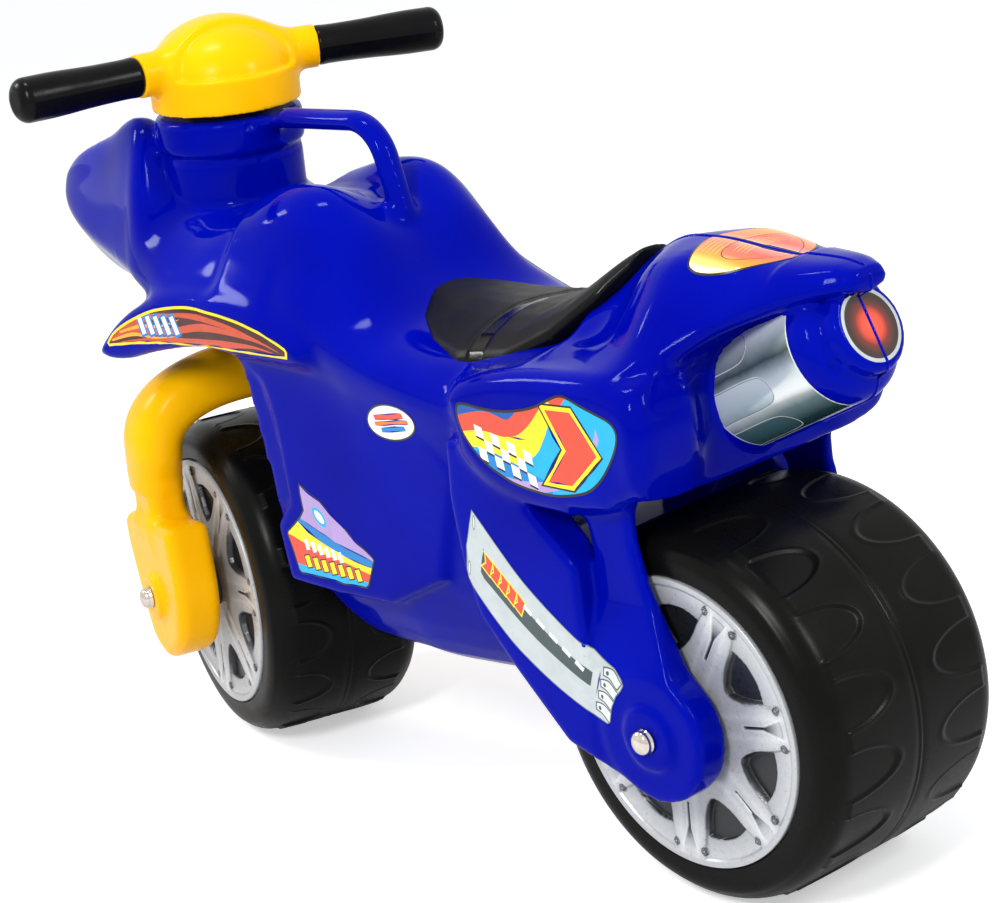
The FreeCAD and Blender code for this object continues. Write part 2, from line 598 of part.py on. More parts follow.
# Handlebar console: domed cover on the stem with a stub to each side
bar_middle = along_axis(bar_height)
console_base = bar_middle - console_base_drop
console_top = bar_middle + console_rise
dome_shares = [(0, 1.0), (0.2, 0.99), (0.42, 0.95), (0.66, 0.83), (0.84, 0.62), (0.95, 0.36), (1.0, 0)]
dome_points = [(r * console_radius, console_base + z * (console_top - console_base)) for r, z in dome_shares]
console = turned_about_z(dome_points + [(0, console_base)])


def bar_piece(shape, side):
    """Swings a piece built along +Y into the swept-back bar on one side."""
    piece = shape.copy() if side > 0 else mirrored(shape)
    piece.rotate(Vector(0, 0, 0), Vector(0, 0, 1), side * bar_sweep_deg)
    piece.translate(Vector(0, 0, bar_middle))
    return piece


spigot_half_span = grip_half_span - grip_end_wall
stub = cylinder_y(stub_radius, 0, stub_half_span)
spigot = cylinder_y(spigot_radius, 0, spigot_half_span)
for side in (1, -1):
    console = fused(console, bar_piece(stub, side), bar_piece(spigot, side))
socket = cylinder_z(stem_radius + running_gap, console_base - cut_overrun, stem_top + running_gap)
console = console.cut(socket)
bolt_top = console_top - bolt_end_depth
console = console.cut(cylinder_z(bolt_radius + running_gap, console_base, bolt_top + running_gap))

grip_profile = [
    (spigot_radius + running_gap, stub_half_span + running_gap), (grip_radius, stub_half_span + running_gap),
    (grip_radius, stub_half_span + (grip_half_span - stub_half_span) / 2),
    (grip_end_radius, grip_half_span - grip_flare), (grip_end_radius, grip_half_span - grip_end_round),
    (grip_end_radius - grip_end_round, grip_half_span),
    (0, grip_half_span), (0, spigot_half_span + running_gap),
    (spigot_radius + running_gap, spigot_half_span + running_gap),
]
grip = turned_about_y(grip_profile)

steering_bolt = fused(cylinder_z(bolt_radius, bolt_seat - bolt_head_height, bolt_top),
                      cylinder_z(bolt_head_radius, bolt_seat - bolt_head_height, bolt_seat - running_gap))

steered = {
    "fork": fork,
    "handlebar_console": console,
    "left_grip": bar_piece(grip, 1),
    "right_grip": bar_piece(grip, -1),
    "steering_bolt": steering_bolt,
}
for name, shape in steered.items():
    shape.Placement = steer_place * shape.Placement
    nodes[name] = shape

# Origin: the middle of the whole bike's box, on the ground
facet_size = 0.2
corner_low = Vector(wheelbase, wheelbase, wheelbase)
corner_high = Vector(-wheelbase, -wheelbase, -wheelbase)
for shape in nodes.values():
    for point in shape.tessellate(facet_size)[0]:
        corner_low = Vector(min(corner_low.x, point.x), min(corner_low.y, point.y), min(corner_low.z, point.z))
        corner_high = Vector(max(corner_high.x, point.x), max(corner_high.y, point.y),
                             max(corner_high.z, point.z))
shift = Vector(-(corner_low.x + corner_high.x) / 2, -(corner_low.y + corner_high.y) / 2, -corner_low.z)
for name, shape in nodes.items():
    shape.translate(shift)
    shape.exportStep("parts/" + name + ".step")
    box = shape.BoundBox
    print(name, "x %.1f %.1f y %.1f %.1f z %.1f %.1f"
          % (box.XMin, box.XMax, box.YMin, box.YMax, box.ZMin, box.ZMax))
print("moved by %.3f %.3f %.3f" % tuple(shift), "size %.1f %.1f %.1f" % tuple(corner_high - corner_low))
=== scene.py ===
# Ride-on motorcycle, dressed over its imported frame.
# Plain numbers are millimetres from the ground under the rear axle: x forward, y to the rider's left, z up.
import bpy
import bmesh
import math
import numpy as np
from mathutils import Matrix, Vector
from mathutils.bvhtree import BVHTree
from mathutils.geometry import delaunay_2d_cdt


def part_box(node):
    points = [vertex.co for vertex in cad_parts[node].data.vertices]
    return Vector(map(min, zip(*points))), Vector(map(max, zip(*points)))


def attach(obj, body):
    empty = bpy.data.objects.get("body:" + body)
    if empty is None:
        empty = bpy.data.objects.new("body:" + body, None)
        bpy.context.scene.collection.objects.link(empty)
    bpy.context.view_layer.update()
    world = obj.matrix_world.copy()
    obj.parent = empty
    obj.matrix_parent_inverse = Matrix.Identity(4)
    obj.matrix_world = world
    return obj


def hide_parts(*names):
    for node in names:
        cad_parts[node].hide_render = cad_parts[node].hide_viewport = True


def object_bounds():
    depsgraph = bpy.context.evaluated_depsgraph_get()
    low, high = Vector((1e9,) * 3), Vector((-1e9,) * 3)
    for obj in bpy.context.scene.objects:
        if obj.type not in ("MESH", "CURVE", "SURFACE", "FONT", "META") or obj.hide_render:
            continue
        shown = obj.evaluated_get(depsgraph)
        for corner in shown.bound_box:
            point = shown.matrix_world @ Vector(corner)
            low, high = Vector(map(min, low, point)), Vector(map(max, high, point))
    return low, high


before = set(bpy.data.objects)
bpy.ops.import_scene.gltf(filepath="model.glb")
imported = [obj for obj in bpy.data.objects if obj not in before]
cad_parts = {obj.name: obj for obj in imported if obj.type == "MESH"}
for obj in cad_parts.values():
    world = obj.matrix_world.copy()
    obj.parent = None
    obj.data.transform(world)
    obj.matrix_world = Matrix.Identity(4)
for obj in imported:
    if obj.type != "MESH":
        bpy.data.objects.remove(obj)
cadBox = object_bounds()
mm = 0.001

axleLow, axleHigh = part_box("rear_axle")
wheelRadius = 105.0
origin = (axleLow + axleHigh) / 2 - Vector((0, 0, wheelRadius * mm))


def at(x, y, z):
    return origin + Vector((x, y, z)) * mm


# camera
cameraSet = {"azimuth": 230.4467, "elevation": 15.6682, "roll": -8.1797,
             "place": (-969.3, 964.8, 635.5), "lens": 96.94, "sensor": 36.0}


def makeCamera():
    a, e, r = (math.radians(cameraSet[k]) for k in ("azimuth", "elevation", "roll"))
    back = Vector((math.sin(a) * math.cos(e), -math.cos(a) * math.cos(e), math.sin(e)))
    right = Vector((0, 0, 1)).cross(back).normalized()
    up = back.cross(right)
    right, up = right * math.cos(r) + up * math.sin(r), up * math.cos(r) - right * math.sin(r)
    data = bpy.data.cameras.new("photoCamera")
    data.lens = cameraSet["lens"]
    data.sensor_width = cameraSet["sensor"]
    data.clip_start, data.clip_end = 0.05, 50
    camera = bpy.data.objects.new("photoCamera", data)
    bpy.context.collection.objects.link(camera)
    turn = Matrix((right, up, back)).transposed().to_4x4()
    camera.matrix_world = Matrix.Translation(at(*cameraSet["place"])) @ turn
    bpy.context.scene.camera = camera


makeCamera()
bpy.context.scene.view_settings.view_transform = "Standard"
print("camera set")

# studio
studioSet = {"worldLight": 0.60, "floorSize": 14.0, "floorWhite": 0.86, "floorLift": 0.47,
             "lamps": [
                 # name, place in metres from the middle, size, watts
                 ("keyBox", (-0.75, 1.30, 1.05), (0.22, 0.46), 19),
                 ("topBox", (0.15, 0.25, 1.75), (0.16, 0.46), 10),
                 ("frontBox", (1.30, 0.75, 1.00), (0.20, 0.50), 9),
                 ("backBox", (-1.50, -0.50, 0.90), (0.20, 0.50), 9),
             ]}


def addNode(tree, kind, **values):
    made = tree.nodes.new(kind)
    for key, value in values.items():
        if key in made.inputs.keys():
            made.inputs[key].default_value = value
        else:
            setattr(made, key, value)
    return made


def makeStudio():
    world = bpy.data.worlds.new("studioWorld")
    bpy.context.scene.world = world
    world.use_nodes = True
    tree = world.node_tree
    tree.nodes.clear()
    out = addNode(tree, "ShaderNodeOutputWorld")
    seen = addNode(tree, "ShaderNodeBackground", Color=(1, 1, 1, 1), Strength=1.0)
    light = addNode(tree, "ShaderNodeBackground", Color=(0.97, 0.98, 1, 1), Strength=studioSet["worldLight"])
    path = addNode(tree, "ShaderNodeLightPath")
    first = addNode(tree, "ShaderNodeMath", operation="MAXIMUM")
    second = addNode(tree, "ShaderNodeMath", operation="MAXIMUM")
    mix = addNode(tree, "ShaderNodeMixShader")
    tree.links.new(path.outputs["Is Camera Ray"], first.inputs[0])
    tree.links.new(path.outputs["Is Glossy Ray"], first.inputs[1])
    tree.links.new(first.outputs[0], second.inputs[0])
    tree.links.new(path.outputs["Is Transmission Ray"], second.inputs[1])
    tree.links.new(second.outputs[0], mix.inputs[0])
    tree.links.new(light.outputs[0], mix.inputs[1])
    tree.links.new(seen.outputs[0], mix.inputs[2])
    tree.links.new(mix.outputs[0], out.inputs[0])

    half = studioSet["floorSize"] / 2
    mesh = bpy.data.meshes.new("studioFloor")
    low = cadBox[0].z
    corners = [(-half, -half, low), (half, -half, low), (half, half, low), (-half, half, low)]
    mesh.from_pydata(corners, [], [(0, 1, 2, 3)])
    floor = bpy.data.objects.new("studioFloor", mesh)
    bpy.context.collection.objects.link(floor)
    paint = bpy.data.materials.new("floorPaper")
    paint.use_nodes = True
    tree = paint.node_tree
    tree.nodes.clear()
    out = addNode(tree, "ShaderNodeOutputMaterial")
    white = studioSet["floorWhite"]
    cloth = addNode(tree, "ShaderNodeBsdfDiffuse", Color=(white, white, white, 1))
    glow = addNode(tree, "ShaderNodeEmission", Color=(1, 1, 1, 1))
    path = addNode(tree, "ShaderNodeLightPath")
    lift = addNode(tree, "ShaderNodeMath", operation="MULTIPLY")
    lift.inputs[1].default_value = studioSet["floorLift"]
    both = addNode(tree, "ShaderNodeAddShader")
    tree.links.new(path.outputs["Is Camera Ray"], lift.inputs[0])
    tree.links.new(lift.outputs[0], glow.inputs["Strength"])
    tree.links.new(cloth.outputs[0], both.inputs[0])
    tree.links.new(glow.outputs[0], both.inputs[1])
    tree.links.new(both.outputs[0], out.inputs[0])
    mesh.materials.append(paint)

    middle = (cadBox[0] + cadBox[1]) / 2
    for name, place, size, watts in studioSet["lamps"]:
        lamp = bpy.data.lights.new(name, "AREA")
        lamp.shape = "RECTANGLE"
        lamp.size, lamp.size_y = size
        lamp.energy = watts
        holder = bpy.data.objects.new(name, lamp)
        bpy.context.collection.objects.link(holder)
        holder.location = middle + Vector(place)
        holder.rotation_euler = (middle - holder.location).to_track_quat("-Z", "Y").to_euler()


makeStudio()
print("studio lit")

# finishes


def tone(red, green, blue):
    # screen colour, 0 to 255, as linear light
    made = []
    for value in (red, green, blue):
        c = value / 255
        made.append(c / 12.92 if c <= 0.04045 else ((c + 0.055) / 1.055) ** 2.4)
    return (*made, 1)


def startFinish(name):
    finish = bpy.data.materials.new(name)
    finish.use_nodes = True
    tree = finish.node_tree
    return finish, tree, tree.nodes["Principled BSDF"], addNode(tree, "ShaderNodeTexCoord")


def noiseOf(tree, coords, scale, detail=3.0, rough=0.5):
    made = addNode(tree, "ShaderNodeTexNoise", Scale=scale, Detail=detail, Roughness=rough)
    tree.links.new(coords.outputs["Object"], made.inputs["Vector"])
    return made.outputs["Fac"]


def spread(tree, source, low, high, fromLow=0.3, fromHigh=0.7):
    made = addNode(tree, "ShaderNodeMapRange")
    made.inputs["From Min"].default_value = fromLow
    made.inputs["From Max"].default_value = fromHigh
    made.inputs["To Min"].default_value = low
    made.inputs["To Max"].default_value = high
    tree.links.new(source, made.inputs["Value"])
    return made.outputs["Result"]


def blendTones(tree, share, first, second):
    made = addNode(tree, "ShaderNodeMix", data_type="RGBA")
    made.inputs[6].default_value = first
    made.inputs[7].default_value = second
    tree.links.new(share, made.inputs[0])
    return made.outputs[2]


def addBump(tree, shader, height, strength, distance):
    # a relief on top of any that the shader has already
    made = addNode(tree, "ShaderNodeBump", Strength=strength, Distance=distance)
    tree.links.new(height, made.inputs["Height"])
    below = shader.inputs["Normal"].links
    if below:
        tree.links.new(below[0].from_socket, made.inputs["Normal"])
    tree.links.new(made.outputs["Normal"], shader.inputs["Normal"])


def addRamp(tree, source, shader, stops):
    # the base colour follows the source through screen colours at places from 0 to 1
    ramp = addNode(tree, "ShaderNodeValToRGB")
    while len(ramp.color_ramp.elements) < len(stops):
        ramp.color_ramp.elements.new(0.5)
    for element, (place, colour) in zip(ramp.color_ramp.elements, stops):
        element.position = place
        element.color = tone(*colour)
    tree.links.new(source, ramp.inputs["Fac"])
    tree.links.new(ramp.outputs["Color"], shader.inputs["Base Color"])


def nudged(tree, source, ripple, amount):
    # a value that a noise moves up and down a little
    made = addNode(tree, "ShaderNodeMath", operation="MULTIPLY_ADD")
    tree.links.new(spread(tree, ripple, -1, 1), made.inputs[0])
    made.inputs[1].default_value = amount
    tree.links.new(source, made.inputs[2])
    return made.outputs[0]


mouldedPlastics = {
    # wave and grain are two reliefs: noise scale and strength
    "bluePlastic": {"tones": (tone(0, 4, 140), tone(0, 13, 158)), "rough": (0.05, 0.10), "level": 0.045,
                    "tint": (0.62, 0.74, 1.0, 1), "wave": (34, 0.08), "grain": (900, 0.012)},
    "yellowPlastic": {"tones": (tone(250, 178, 0), tone(255, 190, 3)), "rough": (0.20, 0.30), "level": 0.11,
                      "tint": (1.0, 0.86, 0.55, 1), "wave": (40, 0.14), "grain": (1100, 0.03)},
    "gripPlastic": {"tones": (tone(6, 6, 7), tone(13, 13, 15)), "rough": (0.16, 0.30), "level": 0.10,
                    "tint": (1, 1, 1, 1), "wave": (70, 0.25), "grain": (1400, 0.05)},
    "bushPlastic": {"tones": (tone(40, 40, 42), tone(58, 58, 60)), "rough": (0.4, 0.55), "level": 0.4,
                    "tint": (1, 1, 1, 1), "wave": (60, 0.1), "grain": (1400, 0.05)},
}


def makeMoulded(name):
    facts = mouldedPlastics[name]
    finish, tree, shader, coords = startFinish(name)
    cloud = noiseOf(tree, coords, 9.0)
    tree.links.new(blendTones(tree, spread(tree, cloud, 0, 1), *facts["tones"]), shader.inputs["Base Color"])
    smear = noiseOf(tree, coords, 46.0, 4.0, 0.6)
    tree.links.new(spread(tree, smear, *facts["rough"]), shader.inputs["Roughness"])
    shader.inputs["Specular IOR Level"].default_value = facts["level"]
    shader.inputs["Specular Tint"].default_value = facts["tint"]
    for key, detail, distance in (("wave", 1.0, 0.0012), ("grain", 2.0, 0.0004)):
        scale, strength = facts[key]
        addBump(tree, shader, noiseOf(tree, coords, scale, detail), strength, distance)
    return finish


def makeTyrePlastic():
    # black moulding, a little lighter and darker at random, with fine turning lines from the mould
    finish, tree, shader, coords = startFinish("tyrePlastic")
    cloud = noiseOf(tree, coords, 14.0, 4.0)
    tree.links.new(blendTones(tree, spread(tree, cloud, 0, 1), tone(5, 5, 4), tone(12, 12, 10)),
                   shader.inputs["Base Color"])
    smear = noiseOf(tree, coords, 60.0, 5.0, 0.6)
    tree.links.new(spread(tree, smear, 0.24, 0.34), shader.inputs["Roughness"])
    shader.inputs["Specular IOR Level"].default_value = 0.09
    lines = addNode(tree, "ShaderNodeTexWave", Scale=900.0, Distortion=6.0, Detail=2.0)
    lines.bands_direction = "Y"
    tree.links.new(coords.outputs["Object"], lines.inputs["Vector"])
    addBump(tree, shader, lines.outputs["Fac"], 0.03, 0.0003)
    addBump(tree, shader, noiseOf(tree, coords, 1500.0, 3.0), 0.10, 0.0003)
    return finish


def makeSeatPlastic():
    # satin top with a polished band across it and a polished roll round its edge
    finish, tree, shader, coords = startFinish("seatPlastic")
    cloud = noiseOf(tree, coords, 18.0, 3.0)
    tree.links.new(blendTones(tree, spread(tree, cloud, 0, 1), tone(7, 7, 8), tone(12, 12, 14)),
                   shader.inputs["Base Color"])
    polish = addNode(tree, "ShaderNodeAttribute", attribute_name="polish")
    satin = noiseOf(tree, coords, 90.0, 4.0)
    dull = spread(tree, satin, 0.40, 0.50)
    mix = addNode(tree, "ShaderNodeMix", data_type="FLOAT")
    tree.links.new(polish.outputs["Fac"], mix.inputs[0])
    tree.links.new(dull, mix.inputs[2])
    mix.inputs[3].default_value = 0.10
    tree.links.new(mix.outputs[0], shader.inputs["Roughness"])
    shader.inputs["Specular IOR Level"].default_value = 0.13
    grain = noiseOf(tree, coords, 2200.0, 2.0)
    addBump(tree, shader, grain, 0.08, 0.0003)
    return finish


rimTones = [(0.0, (22, 25, 27)), (0.3, (58, 61, 66)), (0.42, (118, 121, 125)), (0.6, (168, 171, 173)),
            (0.8, (196, 198, 200)), (1.0, (226, 228, 229))]


def makeRimPaint():
    # printed silver disc: brushed light, darker windows and slots, from the piece's own paint attribute
    finish, tree, shader, coords = startFinish("rimPaint")
    paint = addNode(tree, "ShaderNodeAttribute", attribute_name="paint")
    streak = noiseOf(tree, coords, 420.0, 4.0, 0.6)
    addRamp(tree, nudged(tree, paint.outputs["Fac"], streak, 0.035), shader, rimTones)
    shader.inputs["Metallic"].default_value = 0.25
    tree.links.new(spread(tree, streak, 0.26, 0.36), shader.inputs["Roughness"])
    addBump(tree, shader, streak, 0.04, 0.0003)
    return finish


def makeMetal(name, first, second, rough):
    finish, tree, shader, coords = startFinish(name)
    cloud = noiseOf(tree, coords, 160.0, 4.0)
    tree.links.new(blendTones(tree, spread(tree, cloud, 0, 1), first, second), shader.inputs["Base Color"])
    shader.inputs["Metallic"].default_value = 1.0
    tree.links.new(spread(tree, cloud, *rough), shader.inputs["Roughness"])
    scratch = noiseOf(tree, coords, 1800.0, 2.0)
    addBump(tree, shader, scratch, 0.05, 0.0002)
    return finish


inkSet = {"fade": 0.9, "rough": (0.8, 1.25), "filmRough": 0.22, "level": 0.4}


def makeInk(name, colour, metal):
    # printed film: one ink with slight mottling and a sheen
    finish, tree, shader, coords = startFinish(name)
    cloud = noiseOf(tree, coords, 120.0, 3.0)
    dim = tuple(c * inkSet["fade"] for c in colour[:3]) + (1,)
    tree.links.new(blendTones(tree, spread(tree, cloud, 0, 1), dim, colour), shader.inputs["Base Color"])
    if metal:
        shader.inputs["Metallic"].default_value = metal
    smear = noiseOf(tree, coords, 70.0, 3.0)
    low, high = (inkSet["filmRough"] * share for share in inkSet["rough"])
    tree.links.new(spread(tree, smear, low, high), shader.inputs["Roughness"])
    shader.inputs["Specular IOR Level"].default_value = inkSet["level"]
    return finish


def makeRampInk(name, facts):
    # printed film whose colour runs along one way of the piece's own map, or outward from its middle
    finish, tree, shader, coords = startFinish(name)
    ripple = noiseOf(tree, coords, 60.0, 4.0, 0.6)
    if facts["along"] == "outward":
        centre = addNode(tree, "ShaderNodeVectorMath", operation="DISTANCE")
        centre.inputs[1].default_value = (0.5, 0.5, 0)
        tree.links.new(coords.outputs["UV"], centre.inputs[0])
        source = centre.outputs["Value"]
    else:
        parts = addNode(tree, "ShaderNodeSeparateXYZ")
        tree.links.new(coords.outputs["UV"], parts.inputs[0])
        source = parts.outputs[facts["along"]]
    addRamp(tree, nudged(tree, source, ripple, 0.012), shader, facts["stops"])
    if facts["metal"]:
        shader.inputs["Metallic"].default_value = facts["metal"]
    tree.links.new(spread(tree, ripple, facts["rough"] * 0.8, facts["rough"] * 1.2), shader.inputs["Roughness"])
    return finish


bluePlastic, yellowPlastic, gripPlastic, bushPlastic = (makeMoulded(name) for name in mouldedPlastics)
tyrePlastic = makeTyrePlastic()
seatPlastic = makeSeatPlastic()
rimPaint = makeRimPaint()
capChrome = makeMetal("capChrome", tone(196, 186, 172), tone(222, 214, 202), (0.10, 0.20))
rodSteel = makeMetal("rodSteel", tone(150, 150, 150), tone(178, 178, 178), (0.25, 0.38))
print("finishes made")

# meshes


def smoothStep(value):
    value = np.clip(value, 0, 1)
    return value * value * (3 - 2 * value)


def addPiece(name, mesh, body, finish=None, replaces=()):
    piece = bpy.data.objects.new(name, mesh)
    bpy.context.collection.objects.link(piece)
    if finish:
        mesh.materials.clear()
        mesh.materials.append(finish)
    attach(piece, body)
    if replaces:
        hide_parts(*replaces)
    return piece


def smoothFaces(mesh):
    mesh.polygons.foreach_set("use_smooth", [True] * len(mesh.polygons))
    mesh.update()


def pointsOf(mesh):
    flat = np.empty(len(mesh.vertices) * 3)
    mesh.vertices.foreach_get("co", flat)
    return flat.reshape(-1, 3)


def normalsOf(mesh):
    flat = np.empty(len(mesh.vertices) * 3)
    mesh.vertices.foreach_get("normal", flat)
    return flat.reshape(-1, 3)


def setPoints(mesh, points):
    mesh.vertices.foreach_set("co", points.ravel())
    mesh.update()


def setShare(mesh, name, values):
    layer = mesh.attributes.get(name) or mesh.attributes.new(name, "FLOAT", "POINT")
    layer.data.foreach_set("value", np.asarray(values, np.float32))


def relax(mesh, rounds):
    # each point moves towards its neighbours' middle for its own number of rounds
    points = pointsOf(mesh)
    count = len(points)
    ends = np.empty(len(mesh.edges) * 2, np.int64)
    mesh.edges.foreach_get("vertices", ends)
    ends = ends.reshape(-1, 2)
    here = np.concatenate([ends[:, 0], ends[:, 1]])
    there = np.concatenate([ends[:, 1], ends[:, 0]])
    degree = np.maximum(np.bincount(here, minlength=count), 1)
    rounds = np.asarray(rounds, float)
    for _ in range(8):
        rounds = 0.5 * rounds + 0.5 * np.bincount(here, rounds[there], count) / degree
    for index in range(int(rounds.max()) + 1):
        share = np.clip(rounds - index, 0, 1)[:, None] * 0.5
        middle = [np.bincount(here, points[there, axis], count) for axis in range(3)]
        middle = np.stack(middle, 1) / degree[:, None]
        points += (middle - points) * share
    setPoints(mesh, points)


def remeshed(nodeName, name, cell):
    # the frame's own node, copied and rebuilt in even small faces
    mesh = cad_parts[nodeName].data.copy()
    mesh.name = name
    work = bmesh.new()
    work.from_mesh(mesh)
    bmesh.ops.remove_doubles(work, verts=work.verts, dist=2e-6)
    work.to_mesh(mesh)
    work.free()
    holder = bpy.data.objects.new(name + "Work", mesh)
    bpy.context.collection.objects.link(holder)
    change = holder.modifiers.new("even", "REMESH")
    change.mode = "VOXEL"
    change.voxel_size = cell * mm
    view = bpy.context.evaluated_depsgraph_get()
    made = bpy.data.meshes.new_from_object(holder.evaluated_get(view))
    made.name = name
    bpy.data.objects.remove(holder)
    made.materials.clear()
    return made


def backToPlain(mesh):
    return (pointsOf(mesh) - np.array(origin)) / mm


def fromPlain(points):
    return np.array(origin) + points * mm


def refineNear(mesh, spots, reach, cuts):
    # finer faces round a few spots, for small moulded marks
    work = bmesh.new()
    work.from_mesh(mesh)
    centres = [at(*spot) for spot in spots]
    picked = [edge for edge in work.edges if any((edge.verts[0].co - c).length < reach * mm for c in centres)]
    bmesh.ops.subdivide_edges(work, edges=picked, cuts=cuts, use_grid_fill=True)
    work.to_mesh(mesh)
    work.free()
    mesh.update()


# steering: the axis leans back through the front axle, and the bars rest turned
gripSet = {"sweep": 9.3, "start": 60.1, "stop": 141.9, "endRadius": 13.75, "waist": 12.2, "lip": 12.55,
           "round": 7.5}
steerSet = {"rake": 3.6, "rest": -15.7, "barHeight": 440.0}
frontLow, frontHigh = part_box("front_axle")
frontMiddle = (frontLow + frontHigh) / 2
steerTurn = (Matrix.Translation(frontMiddle) @ Matrix.Rotation(math.radians(-steerSet["rake"]), 4, "Y")
             @ Matrix.Rotation(math.radians(steerSet["rest"]), 4, "Z"))
steerOut = np.array(steerTurn)


def alongAxis(height):
    # a height above the ground, as millimetres up the steering axis from the front axle
    return (height - (frontMiddle - origin).z / mm) / math.cos(math.radians(steerSet["rake"]))


def fromSteer(points):
    # millimetres in the steered frame, from the front axle, to world metres
    return points * mm @ steerOut[:3, :3].T + steerOut[:3, 3]


barMiddle = alongAxis(steerSet["barHeight"])

forkSet = {"cell": 1.3, "settle": 3, "x": (-58, 62), "y": 104, "foot": -52,
           "archStart": 92.0, "archTop": 136.0, "archHalf": 76.0, "sleeve": 66.5, "roundness": 2.35,
           "stemTop": alongAxis(409) + 30.0, "shoulder": alongAxis(268) - 3.0,
           # height on the arch, then the tube's middle from the axis, half depth and half width
           "tube": [(40, 15, 22, 15.6), (66, 15, 22, 15.8), (78, 14.4, 23.5, 16.2), (92, 11, 26, 16.6),
                    (110, 8.6, 25, 17.2), (125, 6, 22, 18), (134, 4, 19, 18.6), (136, 2.5, 17, 18.8)],
           "leg": [(0, -43), (20, -35.6), (31, -17.8), (38.8, 0), (47.5, 22), (49.8, 38), (46, 44), (30, 48),
                   (10, 50), (-14, 52), (-33, 54.5), (-37.5, 52), (-40.5, 40), (-44, 20), (-43.4, 0), (-38, -17),
                   (-28, -29.5), (-14, -38.8)],
           "blade": [(-8.5, 30), (30.5, 30), (31.5, 80), (-6.5, 80)],
           # inner side, outer side and edge radius of the two
           "legPlate": (61.4, 91, 7), "bladePlate": (63.6, 88.4, 8),
           "boss": {"radius": 15, "middle": 85, "half": 10}, "collar": {"radius": 20, "foot": 140},
           "stem": {"radius": 16, "foot": 150},
           "axleBore": 5.1, "boltHead": {"radius": 7.4, "top": 122.1}, "boltBore": 4.2}
consoleSet = {"cell": 1.0, "settle": 2, "x": 52, "y": 136, "z": (-31, 33), "radius": 46.5, "blend": 7,
              "browLean": 20.0, "brow": 21.0, "press": 3.4, "ledge": -5.0, "socket": alongAxis(409) + 30.1,
              "base": -27.0, "wall": -9.0, "rise": 28.0,
              "stub": 13.4, "stubFlare": 2.4, "flareEnd": 46, "flareRun": 14,
              "spigot": {"radius": 9.5, "end": 130}, "socketRadius": 16.1, "boltBore": 4.2, "boltEnd": 23}

